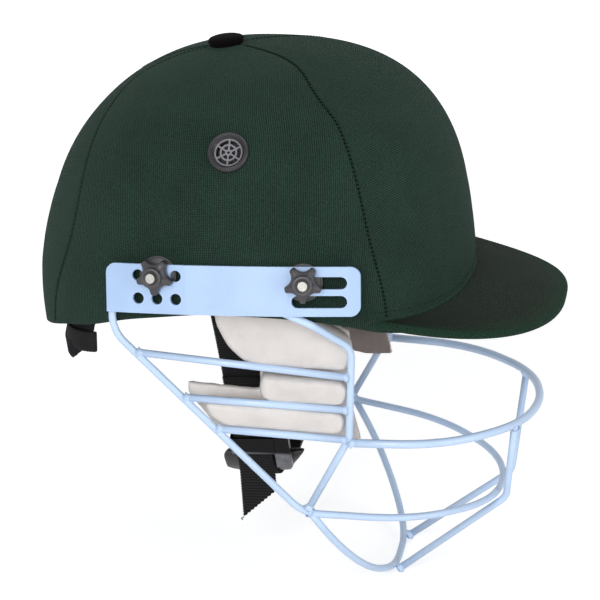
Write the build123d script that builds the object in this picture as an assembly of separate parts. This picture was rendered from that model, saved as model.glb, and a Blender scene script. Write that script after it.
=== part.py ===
from build123d import *
import math
import os

# Cricket helmet: a moulded shell and peak under a four-panel cloth cover, a welded wire face guard
# held by four star knobs on two side plates, cheek pads, a chin harness and a nape cradle.
# Millimetres. X points forward, Y to the wearer's left and Z up.
# The origin is the middle of the head opening, at the level of the rim over the ears.

# Shell and cover
SHELL_LENGTH = 236.5
SHELL_WIDTH = 208.0
CROWN_RISE = 120.0
WIDEST_Z = 4.5
CROWN_SHIFT = 10.0
ROUNDNESS = 2.4
LOWER_DRAW = 0.35
COVER_THICKNESS = 1.2
SHELL_GAP = 0.1
SHELL_WALL = 3.0
SHELL_SIDES = 36
SHELL_BANDS = 8
SHELL_BOTTOM = -0.34
TOP_ANGLE = 86.0
RIM = [(-140, -31), (-100, -22), (-79, -14.4), (-58, -7.5), (-36, -2.4), (-14, 0.8), (8, 1.5), (30, 0.6),
       (46, -1.3), (62, -4.5), (80, -10), (100, -14), (140, -17)]

# Cover seams in plan
SEAM_JOINT_X = -17.0
FRONT_SEAM_ANGLE = 41.8
REAR_SEAM = [(-46.0, 5.2), (-68.0, 16.0), (-81.5, 36.0), (-88.0, 62.0), (-108.0, 95.0)]

# Peak
PEAK_TIP = (174.9, -11.7)
PEAK_SLOPE = 11.6
PEAK_ARCH = 340.0
PEAK_CENTRE_X = 44.3
PEAK_HALF_WIDTH = 88.8
PEAK_ROUNDNESS = 2.59
PEAK_CLOTH = 1.0
PEAK_WALL = 3.0
PEAK_STEPS = 16

# Side plates, bent in flats round an arc in plan and leaning in at the top
PLATE_CENTRE = (3.0, -108.3, 16.6)
PLATE_LENGTH = 136.6
PLATE_HEIGHT = 26.4
PLATE_THICKNESS = 2.0
PLATE_RADIUS = 380.0
PLATE_FLATS = (-72.0, -40.0, -8.0, 14.0, 46.0, 80.0)
PLATE_LEAN = 10.0
PLATE_PITCH = 2.2
PLATE_CORNER = 5.4
HOLE_RADIUS = 3.1
HOLE_COLUMNS = (-50.4, -40.0, -29.6)
HOLE_ROWS = (7.2, -5.2)
SLOT_LENGTH = 29.2
SLOT_HEIGHT = 6.6
SLOT_MIDDLE = 46.9
SLOT_ROWS = (4.6, -5.4)

# Liner pads
PAD_OUTER = 4.5
PAD_INSET = 17.0
PAD_SIDES = 18
PAD_BANDS = 4

# Fixings
STUD_RADIUS = 2.5
STUD_REACH = 10.6
REAR_STUD = (-40.0, 7.2)
FRONT_STUD = (38.7, 4.6)
RUNNING_GAP = 0.05
KNOB_TIP = 10.0
KNOB_SCALLOP = 5.5
KNOB_SCALLOP_CENTRE = 12.1
KNOB_LOBES = 5
KNOB_NUT = 4.2
KNOB_HUB = 5.4
KNOB_HEIGHT = 10.0
KNOB_RECESS = 3.75
SPACER_RADIUS = 10.2
WASHER_RADIUS = 7.5
WASHER_DEPTH = 12.2
STUD_HEAD = 5.5
BOLT_CLEARANCE = 2.6

# Guard wires
WIRE = 4.1
LOOP_WIRE = 4.7
WELD_DEPTH = 3.9
WIRE_SIDES = 10
BEND_STEP = 14.0
ROUND_SHARE = 1.03

# Vents
VENT_X = -1.8
VENT_Z = 85.3
VENT_RADIUS = 11.0
VENT_SPOKES = 6
VENT_SIDES = 16

# Chin harness
STRAP_WIDTH = 20.0
STRAP_THICKNESS = 1.5
STRAP_RIVET = 2.0
STRAP_RIVET_HEAD = 4.5
STRAP_END = 5.0
STRAP_X = -7.0
STRAP_PIVOT_Z = 14.0
STRAP_PLANE = 81.4
STRAP_BEND = (69.6, -6.5)
STRAP_LEAN = 3.8
CUP_RADIUS = 30.0
CUP_CENTRE_Z = -101.0
CUP_WALL = 6.0
CUP_GAP = 0.4
CUP_SIDES = 32
STRAP_STEPS = 7
SLIDER_LENGTH = 12.0
SLIDER_REST = 11.5
TAIL_GAP = 0.05
TAIL_RUN = 7.0
TAIL_BOTTOM_Z = -153.0

# Nape cradle
NAPE_PIVOT = (-66.0, 0.0)
NAPE_WALL = 2.4
NAPE_RIVET = 2.0
NAPE_RIVET_HEAD = 4.0
NAPE_RIVET_INSIDE = 76.2


def ring_scale(level):
    """Share of the widest ring left at a level: 0 is the widest, 1 the crown, below 0 the skirt."""
    if level > 0:
        return (1 - level**ROUNDNESS) ** (1 / ROUNDNESS)
    return 1 - LOWER_DRAW * level * level


def ring(middle, half_x, half_y, z, sides):
    """Points of a superellipse ring, evenly turned about its middle."""
    points = []
    for i in range(sides):
        turn = 2 * math.pi * i / sides
        c, s = math.cos(turn), math.sin(turn)
        k = (abs(c) ** ROUNDNESS + abs(s) ** ROUNDNESS) ** (-1 / ROUNDNESS)
        points.append(Vector(middle + half_x * k * c, half_y * k * s, z))
    return points


def faceted(rings, capped=True, split=False):
    """Solid through rings of as many points each. Split halves each facet, for rings not alike."""
    faces = []
    if capped:
        faces = [Face(Wire.make_polygon(rings[0])), Face(Wire.make_polygon(rings[-1]))]
    sides = len(rings[0])
    for low, high in zip(rings, rings[1:]):
        for i in range(sides):
            j = (i + 1) % sides
            facet = [low[i], low[j], high[j], high[i]]
            for points in ([facet[:3], [facet[0]] + facet[2:]] if split else [facet]):
                faces.append(Face(Wire.make_polygon(points)))
    return Solid(Shell(faces))


def turned(profile, sides=24, hollow=False):
    """Many-sided turned piece from radius and height pairs, solid or a hollow ring."""
    step = 2 * math.pi / sides
    turns = [i * step for i in range(sides)]
    rings = [[Vector(radius * math.cos(t), radius * math.sin(t), z) for t in turns] for radius, z in profile]
    if hollow:
        rings.append(rings[0])
    return faceted(rings, capped=not hollow)


def disc(radius, low, high, sides=24):
    return turned([(radius, low), (radius, high)], sides)


def round_bar(radius, low, high):
    """True round cylinder between two heights."""
    return Pos(0, 0, (low + high) / 2) * Cylinder(radius, high - low)


def dome(inset, sides=SHELL_SIDES, bands=SHELL_BANDS):
    """The helmet's egg, drawn in by inset from the outside of the cover."""
    rise = CROWN_RISE - inset
    levels = [SHELL_BOTTOM, SHELL_BOTTOM / 2, 0]
    for k in range(1, bands + 1):
        levels.append(math.sin(math.radians(TOP_ANGLE * k / bands)) ** (2 / ROUNDNESS))
    rings = []
    for level in levels:
        scale = ring_scale(level)
        half_x = (SHELL_LENGTH / 2 - inset) * scale
        half_y = (SHELL_WIDTH / 2 - inset) * scale
        middle = CROWN_SHIFT * max(level, 0) ** 2
        rings.append(ring(middle, half_x, half_y, WIDEST_Z + rise * level, sides))
    return faceted(rings)


def side_y(x, z, inset=0):
    """Distance of the egg's side from the middle plane."""
    level = (z - WIDEST_Z) / (CROWN_RISE - inset)
    scale = ring_scale(level)
    along = abs(x - CROWN_SHIFT * max(level, 0) ** 2) / ((SHELL_LENGTH / 2 - inset) * scale)
    return (SHELL_WIDTH / 2 - inset) * scale * (1 - along**ROUNDNESS) ** (1 / ROUNDNESS)


def side_frame(x, z):
    """Plane on the right side of the egg, looking out."""
    step = 0.5
    along = Vector(2 * step, side_y(x - step, z) - side_y(x + step, z), 0)
    up = Vector(0, side_y(x, z - step) - side_y(x, z + step), 2 * step)
    return Plane(origin=(x, -side_y(x, z), z), x_dir=along, z_dir=along.cross(up))


def crown_z(x):
    """Height of the egg over the middle plane."""
    low, high = 0.5, 1.0
    for _ in range(40):
        level = (low + high) / 2
        reach = SHELL_LENGTH / 2 * ring_scale(level)
        if abs(x - CROWN_SHIFT * level**2) < reach:
            low = level
        else:
            high = level
    return WIDEST_Z + CROWN_RISE * low


def left_of(shape):
    """The wearer's left twin of a right-hand shape."""
    return mirror(shape, about=Plane.XZ)


def both(shape):
    """A right-hand shape with its left twin."""
    return Compound(children=[shape, left_of(shape)])


def upright(outline, reach=140):
    """Prism over a closed outline of X and Z points, across the whole width."""
    face = Face(Wire.make_polygon([(x, -reach, z) for x, z in outline]))
    return extrude(face, amount=2 * reach, dir=(0, 1, 0))


def main_solid(shape):
    """The largest solid of a cut."""
    return max(shape.solids(), key=lambda s: s.volume)


def chords(path):
    """Points of a path, with its arcs as short straight runs."""
    points = [path @ 0]
    for edge in Wire(path.edges()).order_edges():
        steps = 1
        if edge.geom_type == GeomType.CIRCLE:
            steps = max(2, round(math.degrees(edge.length / edge.radius) / BEND_STEP))
        run = [edge @ (i / steps) for i in range(steps + 1)]
        if (run[-1] - points[-1]).length < (run[0] - points[-1]).length:
            run.reverse()
        points += run[1:]
    return points


def mitred(points, radius, sides=WIRE_SIDES):
    """Bar of flat-sided section along straight runs, mitred where they meet."""
    runs = [(b - a).normalized() for a, b in zip(points, points[1:])]
    start = Plane(origin=points[0], z_dir=runs[0])
    step = 2 * math.pi / sides
    section = [Vector(radius * math.cos(i * step), radius * math.sin(i * step), 0) for i in range(sides)]
    rings = [[start.from_local_coords(q) for q in section]]
    for k, point in enumerate(points[1:]):
        along = runs[k]
        cut = (along + runs[min(k + 1, len(runs) - 1)]).normalized()
        rings.append([q + along * ((point - q).dot(cut) / along.dot(cut)) for q in rings[-1]])
    return faceted(rings)


def wire(points, radii, diameter):
    """Round wire bent at its corners, given by straight runs and their bend radii."""
    path = FilletPolyline(*points, radius=radii) if radii else Line(*points)
    return mitred(chords(path) if radii else [path @ 0, path @ 1], diameter / 2 * ROUND_SHARE)


def mirrored(points):
    """Right-hand points run on to their left twins."""
    back = [(x, -y, z) for x, y, z in reversed(points) if abs(y) > 1e-6]
    return points + back


# Rim line


def above_rim():
    """Everything over the rim: low at the nape and brow, arched over the ears."""
    return upright(RIM + [(140, 140), (-140, 140)])


# Side plate geometry


def plate_frame():
    lean, pitch = math.radians(PLATE_LEAN), math.radians(PLATE_PITCH)
    return Plane(
        origin=PLATE_CENTRE,
        x_dir=(math.cos(pitch), 0, math.sin(pitch)),
        z_dir=(0, -math.cos(lean), math.sin(lean)),
    )


def flat_of(x):
    """Turn of the flat that a place along the plate is on, and how far along that flat it is."""
    middle = min(PLATE_FLATS, key=lambda flat: abs(flat - x))
    return middle / PLATE_RADIUS, x - middle


def plate_point(x, up, out):
    """Point over the plate: along it, up it and out from its face."""
    turn, along = flat_of(x)
    reach = PLATE_RADIUS + out
    side = reach * math.sin(turn) + along * math.cos(turn)
    rise = reach * math.cos(turn) - PLATE_RADIUS - along * math.sin(turn)
    return plate_frame().from_local_coords(Vector(side, up, rise))


def stud_frame(place):
    """Plane on the plate's face at a stud, looking out along it."""
    foot = plate_point(*place, 0)
    tip = plate_point(*place, 10)
    return Plane(origin=foot, x_dir=plate_point(place[0] + 1, place[1], 0) - foot, z_dir=tip - foot)


def bend_line(out):
    """Corners of the plate's plan, at a distance out from its face."""
    corners = []
    for a, b in zip(PLATE_FLATS, PLATE_FLATS[1:]):
        half = (b - a) / 2 / PLATE_RADIUS
        turn = (a + b) / 2 / PLATE_RADIUS
        reach = (PLATE_RADIUS + out) / math.cos(half)
        corners.append((reach * math.sin(turn), reach * math.cos(turn) - PLATE_RADIUS))
    for flat, end in ((PLATE_FLATS[0], -75.0), (PLATE_FLATS[-1], 75.0)):
        turn = flat / PLATE_RADIUS
        reach = PLATE_RADIUS + out
        along = end - flat
        side = reach * math.sin(turn) + along * math.cos(turn)
        rise = reach * math.cos(turn) - PLATE_RADIUS - along * math.sin(turn)
        corners.insert(0 if end < 0 else len(corners), (side, rise))
    return corners


def bent_sheet(outer, inner, half_height):
    """Bent strip between two distances out from the plate's face."""
    plan = bend_line(outer) + bend_line(inner)[::-1]
    face = Face(Wire.make_polygon([(x, -half_height, z) for x, z in plan]))
    return plate_frame() * extrude(face, amount=2 * half_height, dir=(0, 1, 0))


def round_ended(length, height, steps=7):
    """Straight slot with many-sided round ends."""
    reach, radius = (length - height) / 2, height / 2
    points = []
    for end, start in ((1, -90), (-1, 90)):
        for i in range(steps + 1):
            turn = math.radians(start + 180 * i / steps)
            points.append((end * reach + radius * math.cos(turn), radius * math.sin(turn)))
    return make_face(Polyline(*points, points[0]))


def side_plate():
    outline = Rectangle(PLATE_LENGTH, PLATE_HEIGHT)
    corners = outline.vertices().sort_by(Axis.X)
    rounded = corners[2:] + [corners[:2].sort_by(Axis.Y)[-1]]
    outline = fillet(rounded, PLATE_CORNER)
    for y in SLOT_ROWS:
        outline -= Pos(SLOT_MIDDLE, y) * round_ended(SLOT_LENGTH, SLOT_HEIGHT)
    blank = plate_frame() * extrude(outline, amount=20, both=True)
    plate = blank & bent_sheet(0, -PLATE_THICKNESS, 20)
    for x in HOLE_COLUMNS:
        for y in HOLE_ROWS:
            plate -= stud_frame((x, y)) * disc(HOLE_RADIUS, -5, 5, 16)
    return main_solid(plate)


# Knobs and fixings


def star_ring(scale, z):
    """Star outline: five blunt tips with round scallops between them."""
    points = []
    opening = math.radians(54.8)
    for i in range(KNOB_LOBES):
        turn = math.radians(90 + 360 * i / KNOB_LOBES)
        for share in (-1, -0.4, 0.4, 1):
            side = turn + math.pi - share * opening
            x = KNOB_SCALLOP_CENTRE * math.cos(turn) + KNOB_SCALLOP * math.cos(side)
            y = KNOB_SCALLOP_CENTRE * math.sin(turn) + KNOB_SCALLOP * math.sin(side)
            points.append(Vector(scale * x, scale * y, z))
        tip = turn + math.pi / KNOB_LOBES
        points.append(Vector(scale * KNOB_TIP * math.cos(tip), scale * KNOB_TIP * math.sin(tip), z))
    return points


def star_knob(place):
    """Five-lobed knob with a raised hub, hollowed for its nut."""
    lobes = [(0.97, 0.7), (1, 5.2), (0.93, 6.2), (0.62, 7.4)]
    knob = faceted([star_ring(scale, z) for scale, z in lobes])
    knob += turned([(KNOB_HUB, 6.4), (KNOB_HUB, KNOB_HEIGHT - 0.4), (KNOB_HUB - 0.4, KNOB_HEIGHT)], 16)
    knob -= disc(KNOB_RECESS, KNOB_HEIGHT - 1, KNOB_HEIGHT + 1, 16)
    knob -= disc(KNOB_NUT, 0, KNOB_HEIGHT - 0.95, 6)
    return main_solid(stud_frame(place) * knob)


def knob_nut(place):
    nut = disc(KNOB_NUT, 0.1, 9.0, 6) - round_bar(STUD_RADIUS + RUNNING_GAP, 0, 10)
    return main_solid(stud_frame(place) * nut)


def fixing_stud(place):
    shank = round_bar(STUD_RADIUS, -13.6, STUD_REACH)
    return main_solid(stud_frame(place) * (shank + disc(STUD_HEAD, -14.5, -WASHER_DEPTH, 12)))


def spacer(place, outer_egg):
    puck = stud_frame(place) * (disc(SPACER_RADIUS, -9, -1, 16) - disc(BOLT_CLEARANCE, -10, 0, 12))
    return main_solid(puck - bent_sheet(2, -PLATE_THICKNESS, 40) - outer_egg)


def backing_washer(place, inner_egg):
    puck = disc(WASHER_RADIUS, -WASHER_DEPTH, -7, 12) - disc(BOLT_CLEARANCE, -13, -6, 12)
    return main_solid((stud_frame(place) * puck) & inner_egg)


def stud_hole(place):
    return stud_frame(place) * disc(BOLT_CLEARANCE, -14, 0, 12)


STUD_PLACES = {"rear": REAR_STUD, "front": FRONT_STUD}


# Vents


def sector(inner, outer, middle, spread):
    """Straight-sided window between two spokes."""
    ends = [math.radians(middle + share * spread) for share in (-0.5, 0.5)]
    corners = [(inner, ends[0]), (outer, ends[0]), (outer, ends[1]), (inner, ends[1])]
    points = [(radius * math.cos(turn), radius * math.sin(turn)) for radius, turn in corners]
    return make_face(Polyline(*points, points[0]))


VENT_PROFILE = [(7.5, -9.5), (8.6, -9.5), (8.6, -1.15), (VENT_RADIUS, -1.15), (VENT_RADIUS, 0.9), (9.6, 2.5),
                (7.5, 0.8)]


def vent():
    """Bevelled bezel with a recessed wheel grille and a barrel through the shell."""
    wheel = RegularPolygon(8.0, VENT_SIDES)
    for i in range(VENT_SPOKES):
        turn = 360 * i / VENT_SPOKES
        wheel -= sector(4.8, 6.7, turn, 44)
        wheel -= sector(1.6, 3.8, turn, 40)
    grille = extrude(wheel, amount=-1.6)
    return main_solid(side_frame(VENT_X, VENT_Z) * (turned(VENT_PROFILE, VENT_SIDES, hollow=True) + grille))


def vent_retainer(inner_egg):
    collar = side_frame(VENT_X, VENT_Z) * disc(VENT_RADIUS, -9.5, -4, VENT_SIDES)
    return main_solid((collar & inner_egg) - vent())


# Shell, cover and button


def seam_prism(points):
    return Pos(0, 0, -60) * extrude(make_face(points), amount=220, dir=(0, 0, 1))


def front_wedge():
    reach = 190
    turn = math.radians(FRONT_SEAM_ANGLE)
    far = (SEAM_JOINT_X + reach * math.cos(turn), reach * math.sin(turn))
    near = (far[0], -far[1])
    tip = (SEAM_JOINT_X, 0)
    return seam_prism(Polyline(tip, far, near, tip))


def rear_wedge():
    end = REAR_SEAM[-1][1]
    left = [(SEAM_JOINT_X, 0)] + REAR_SEAM + [(-150, end)]
    right = [(x, -y) for x, y in reversed(left)]
    return seam_prism(Polyline(*left, *right))


def cover_panels(cover):
    front = main_solid(cover & front_wedge())
    rear = main_solid(cover & rear_wedge())
    rest = cover - front_wedge() - rear_wedge()
    right = main_solid(rest & (Pos(0, -100, 40) * Box(300, 200, 240)))
    return front, rear, right


def crown_button(outer_egg):
    """Domed cloth button over the seam joint, tilted with the crown."""
    x = SEAM_JOINT_X - 2.0
    slope = math.degrees(math.atan2(crown_z(x + 8) - crown_z(x - 8), 16))
    cap = turned([(9.4, -4), (9.4, 0.5), (10, 1.4), (10, 2.6), (8.4, 3.7), (5.2, 4.4), (1.5, 4.6)], 18)
    placed = Pos(x, 0, crown_z(x)) * Rot(0, -slope, 0) * cap
    return main_solid(placed - outer_egg)


# Peak


def peak_sheet(outer, inner):
    """Arched sheet whose ridge runs down to the tip, measured in from its top face."""
    slope = math.radians(PEAK_SLOPE)
    up = Vector(math.sin(slope), 0, math.cos(slope))
    down_line = Vector(math.cos(slope), 0, -math.sin(slope))
    centre = Vector(PEAK_TIP[0], 0, PEAK_TIP[1]) - up * PEAK_ARCH
    frame = Plane(origin=centre, x_dir=(0, 1, 0), z_dir=down_line)
    return frame * (Cylinder(PEAK_ARCH - outer, 420) - Cylinder(PEAK_ARCH - inner, 420))


def peak_outline(inset):
    """Plan of the peak: a blunt half ellipse."""
    long_half = PEAK_TIP[0] - PEAK_CENTRE_X - inset
    wide_half = PEAK_HALF_WIDTH - inset
    points = []
    for i in range(PEAK_STEPS + 1):
        turn = math.pi * (i / PEAK_STEPS - 0.5)
        c, s = math.cos(turn), math.sin(turn)
        k = (abs(c) ** PEAK_ROUNDNESS + abs(s) ** PEAK_ROUNDNESS) ** (-1 / PEAK_ROUNDNESS)
        points.append((PEAK_CENTRE_X + long_half * k * c, wide_half * k * s))
    face = make_face(Polyline(*points, points[0]))
    return Pos(0, 0, -60) * extrude(face, amount=140, dir=(0, 0, 1))


def peak_pieces(outer_egg):
    total = PEAK_WALL + 2 * PEAK_CLOTH
    whole = main_solid((peak_outline(0) & peak_sheet(0, total)) - outer_egg)
    core = peak_outline(PEAK_CLOTH) & peak_sheet(PEAK_CLOTH, PEAK_CLOTH + PEAK_WALL)
    core = main_solid(core - outer_egg)
    return core, main_solid(whole - core)


# Liner pads


EAR_PAD = [(-46, 12), (-30, 4), (-18, 4), (-18, 18), (12, 18), (12, 4), (38, 4), (46, 14), (46, 40), (30, 52),
           (-30, 52), (-46, 40)]


def liner_pads(pockets):
    """Foam pads inside the shell: crown, brow, rear and one over each ear."""
    foam = dome(PAD_OUTER, PAD_SIDES, PAD_BANDS) - dome(PAD_INSET, PAD_SIDES, PAD_BANDS)
    crown = foam & (Pos(2, 0, 110) * Box(96, 84, 40))
    brow = foam & upright([(58, -6), (84, -9), (130, -12), (130, 34), (52, 34)])
    brow &= Pos(90, 0, 10) * Box(90, 118, 100)
    rear = foam & upright([(-130, 10), (-62, 10), (-62, 56), (-130, 56)])
    rear &= Pos(-90, 0, 30) * Box(90, 120, 100)
    ear = main_solid(foam & upright(EAR_PAD) & (Pos(0, -100, 20) * Box(200, 160, 120)))
    for pocket in pockets:
        ear -= pocket
    return main_solid(crown), main_solid(brow), main_solid(rear), main_solid(ear)


# Face guard


LEG_TOP = (-65.9, 9.0)
BAR_WELD = [(12.0, -10.2), (26.0, -11.2)]
BAR_KNEE = (45.0, -102.6, -1.8)
LEG_END = (-63.5, -100.5, -12.0)
JAW_CORNER = (38.0, -85.0, -119.4)
LOWER_LOOP = [(97.8, -73.1, -124.5), (134.8, -36.3, -128.2), (142.7, 0.0, -129.7)]
UPPER_LOOP = [(62.0, -82.0, -77.0), (114.8, -76.8, -77.0), (154.8, -38.5, -77.0), (161.5, 0.0, -77.0)]
CHIN_LOOP = [(41.0, -84.6, -118.0), (57.1, -76.8, -142.6), (72.1, -55.0, -165.8), (82.2, -22.7, -179.1)]
FRONT_CORNER = (64.0, -82.6, -21.5)
FRONT_ELBOW = (62.9, -81.7, -74.5)
FRONT_FOOT = (40.4, -84.6, -118.0)
BAR_HEIGHTS = {"upper": (-24.8, -38.7), "middle": (-50.9, -57.8), "lower": (-69.3, -75.5)}
STRUT = [(149.8, -41.4, -77.0), (144.6, -18.5, -131.5), (83.6, -22.6, -180.4)]


def point_at_height(start, end, z):
    share = (z - start[2]) / (end[2] - start[2])
    return tuple(a + (b - a) * share for a, b in zip(start, end))


def face_guard(plate):
    """Every wire of the welded guard, each end shaped to what it is welded to."""
    plates = [plate, left_of(plate)]
    leg_top = tuple(plate_point(*LEG_TOP, -WELD_DEPTH))
    lower = mirrored([leg_top, LEG_END, JAW_CORNER] + LOWER_LOOP)
    lower_wire = wire(lower, [22, 25, 86, 67, 73, 67, 86, 25, 22], WIRE) - plates
    upper_wire = wire(mirrored(UPPER_LOOP), [78, 68, 80, 68, 78], LOOP_WIRE)
    chin_wire = wire(mirrored(CHIN_LOOP), [82, 78, 71, 71, 78, 82], WIRE) - lower_wire
    front = [tuple(plate_point(*place, -WELD_DEPTH)) for place in BAR_WELD]
    front += [BAR_KNEE, FRONT_CORNER, FRONT_ELBOW, FRONT_FOOT]
    front_bar = wire(front, [12, 9, 13, 12], WIRE)
    front_bar = main_solid(front_bar - lower_wire - plate)
    wires = {
        "lower_face_wire": main_solid(lower_wire),
        "upper_face_wire": main_solid(upper_wire - front_bar - left_of(front_bar)),
        "chin_wire": main_solid(chin_wire - front_bar - left_of(front_bar)),
        "right_front_bar": front_bar,
    }
    for name, (rear_z, front_z) in BAR_HEIGHTS.items():
        rear_end = point_at_height(LEG_END, JAW_CORNER, rear_z)
        front_end = point_at_height(FRONT_CORNER, FRONT_ELBOW, front_z)
        bar = wire([rear_end, front_end], None, WIRE)
        wires[f"right_cheek_bar_{name}"] = main_solid(bar - lower_wire - front_bar - upper_wire)
    strut = wire(STRUT, [9], WIRE) - lower_wire - upper_wire - chin_wire
    wires["right_centre_strut"] = main_solid(strut)
    return wires


# Cheek pads


def cheek_frame():
    """Plane of the right cheek wires, looking out."""
    return Plane(origin=(20, -88.2, -50), x_dir=(1, 0.14, 0), z_dir=(0.14, -1, -0.02))


UPPER_LOBE = [(-30, 52), (10, 51), (40.5, 31.5), (43, 27), (41.5, 17.5), (38, 15), (-7, 17.5), (-13.5, 19.5),
              (-22, 28), (-28, 40)]
MIDDLE_LOBE = [(-3, 12.5), (38, 8), (41, 5), (40.5, -1.5), (37.5, -5), (3, -2.5), (-2.5, 0), (-4.5, 5)]
LOWER_LOBE = [(-32, -5.5), (6, -7.5), (38, -10.5), (40.5, -15), (38.5, -21), (34, -22), (-24, -17),
              (-31, -12)]
BACKING = [(-5, 53), (11, 53), (43, 33), (45.5, 10), (44.5, -10), (50, -31), (34, -33), (-30, -24), (-45, -4),
           (-45, 2), (-5, -2), (-6, 14), (-13, 19), (-13, 41), (-5, 43)]
BOARD_DEPTH = (-17.5, -13.0)


def shrunk(outline, step):
    """Outline drawn in towards its middle by about a step on every side."""
    cx = sum(x for x, _ in outline) / len(outline)
    cy = sum(y for _, y in outline) / len(outline)
    result = []
    for x, y in outline:
        length = math.hypot(x - cx, y - cy)
        result.append((cx + (x - cx) * (1 - step / length), cy + (y - cy) * (1 - step / length)))
    return result


def lobe(outline, base, top):
    """Crowned foam lobe: sides drawn in at the foot, fullest at two thirds, rounded to the crown."""
    rings = []
    for share, step in [(0, 1.4), (0.35, 0.3), (0.62, 0), (0.86, 1.6), (1.0, 5.0)]:
        z = base + (top - base) * share
        rings.append([Vector(x, y, z) for x, y in shrunk(outline, step)])
    return main_solid(cheek_frame() * faceted(rings, split=True))


def cheek_pads():
    board = make_face(Polyline(*BACKING, BACKING[0]))
    low, high = BOARD_DEPTH
    board = cheek_frame() * Pos(0, 0, low) * extrude(board, amount=high - low, dir=(0, 0, 1))
    return {
        "right_cheek_pad_backing": main_solid(board),
        "right_cheek_pad_upper": lobe(UPPER_LOBE, high, -0.5),
        "right_cheek_pad_middle": lobe(MIDDLE_LOBE, high, 0.8),
        "right_cheek_pad_lower": lobe(LOWER_LOBE, high, 0.8),
    }


# Chin harness


def strap_line(offset):
    """Right half of the strap in Y and Z, from its rivet to under the cup, moved out by an offset."""
    radius = CUP_RADIUS + CUP_GAP + offset
    top = Vector(STRAP_PLANE + offset, STRAP_PIVOT_Z + STRAP_END)
    knee = Vector(STRAP_PLANE + offset, STRAP_PIVOT_Z - 6)
    bend = Vector(STRAP_BEND[0] + offset, STRAP_BEND[1])
    centre = Vector(0, CUP_CENTRE_Z)
    away = bend - centre
    turn = math.degrees(math.acos(radius / away.length))
    touch = centre + away.normalized().rotate(Axis.Z, -turn) * radius
    return top, knee, bend, touch, Vector(0, CUP_CENTRE_Z - radius)


def half_band(offset):
    """The strap line at an offset, round the cup in short runs to its lowest point."""
    top, knee, bend, touch, low = strap_line(offset)
    radius = CUP_RADIUS + CUP_GAP + offset
    start = math.atan2(touch.Y - CUP_CENTRE_Z, touch.X)
    points = [top, knee, bend, touch]
    for i in range(1, STRAP_STEPS):
        turn = start + (-math.pi / 2 - start) * i / STRAP_STEPS
        points.append(Vector(radius * math.cos(turn), CUP_CENTRE_Z + radius * math.sin(turn)))
    return points + [low]


def across_x(face, width, middle):
    """Solid over a face drawn in Y and Z, across the strap."""
    frame = Plane(origin=(middle - width / 2, 0, 0), x_dir=(0, -1, 0), z_dir=(-1, 0, 0))
    return frame * extrude(face, amount=width, dir=(0, 0, -1))


def leaning(shape):
    """A harness piece swung forward to where the strap hangs."""
    swing = Pos(STRAP_X, 0, STRAP_PIVOT_Z) * Rot(0, -STRAP_LEAN, 0) * Pos(-STRAP_X, 0, -STRAP_PIVOT_Z)
    return swing * shape


def pivot_rod(radius, y_from, y_to):
    middle = (y_from + y_to) / 2
    bar = Cylinder(radius, abs(y_to - y_from), rotation=(90, 0, 0))
    return Pos(STRAP_X, middle, STRAP_PIVOT_Z) * bar


def chin_strap():
    inner, outer = half_band(0), half_band(STRAP_THICKNESS)
    face = make_face(Polyline(*inner, *reversed(outer), inner[0]))
    half = across_x(face, STRAP_WIDTH, STRAP_X) - pivot_rod(STRAP_RIVET + RUNNING_GAP, -90, -70)
    return main_solid(half + left_of(half))


def run_frame():
    """Place on the straight right run of the strap: X down along it, Y out."""
    _, _, bend, touch, _ = strap_line(0)
    along = (touch - bend).normalized()
    foot = touch - along * SLIDER_REST
    return Pos(foot.X, foot.Y) * Rot(0, 0, math.degrees(math.atan2(along.Y, along.X)))


def strap_slider():
    """Moulded keeper that slides on the right run of the strap, with a thumb tab at its front."""
    frame = run_frame()
    block = across_x(frame * Pos(0, 1.6) * Rectangle(SLIDER_LENGTH, 6.2), STRAP_WIDTH + 5, STRAP_X)
    bore = across_x(frame * Pos(0, 1.6) * Rectangle(30, 3.6), STRAP_WIDTH + 0.8, STRAP_X)
    tab_x = STRAP_X + STRAP_WIDTH / 2 + 6.6
    tab = across_x(frame * Pos(5.5, 2.6) * Rectangle(SLIDER_LENGTH + 11, 3.4), 9, tab_x)
    return main_solid(block - bore + tab)


def strap_tail():
    """Loose end: lies on the strap, through the slider, then hangs with a slant-cut tip."""
    low, high = STRAP_THICKNESS + TAIL_GAP, 2 * STRAP_THICKNESS + TAIL_GAP
    runs = []
    for offset in (low, high):
        _, _, bend, touch, _ = strap_line(offset)
        start = bend + (touch - bend) * 0.45
        knee = touch + (touch - bend).normalized() * TAIL_RUN
        runs.append([start, knee, Vector(knee.X, TAIL_BOTTOM_Z)])
    outline = Polyline(*runs[0], *reversed(runs[1]), runs[0][0])
    tail = across_x(make_face(outline), STRAP_WIDTH, STRAP_X)
    slant = upright([(-30, -165), (-18.5, -152), (3, -134), (20, -120), (20, -165)])
    return main_solid(tail - slant)


CUP_SIDE = [(-24, -109), (22, -109), (13, -121), (8, -132), (-20, -133), (-27, -124), (-27.5, -113)]


def chin_cup():
    """Shallow soft cup lying on the strap."""
    trough = disc(CUP_RADIUS, -45, 45, CUP_SIDES) - disc(CUP_RADIUS - CUP_WALL, -50, 50, CUP_SIDES)
    return main_solid((Pos(0, 0, CUP_CENTRE_Z) * Rot(0, 90, 0) * trough) & upright(CUP_SIDE))


def rivet_turn():
    """Place of the right strap rivet, looking in from its outer head."""
    return Pos(STRAP_X, -88.4, STRAP_PIVOT_Z) * Rot(-90, 0, 0)


def strap_hanger():
    """Leather tab on the ear pad's face that the strap is riveted to."""
    side = upright([(-17, 5), (3, 5), (3, 46), (-17, 46)])
    inner = dome(PAD_INSET + 1.5, PAD_SIDES, PAD_BANDS)
    tab = (dome(PAD_INSET, PAD_SIDES, PAD_BANDS) - inner) & side
    tab = main_solid(tab & (Pos(0, -100, 20) * Box(60, 160, 120)))
    return main_solid(tab - rivet_turn() * disc(STRAP_RIVET + 2 * RUNNING_GAP, -5, 15, 12))


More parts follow.
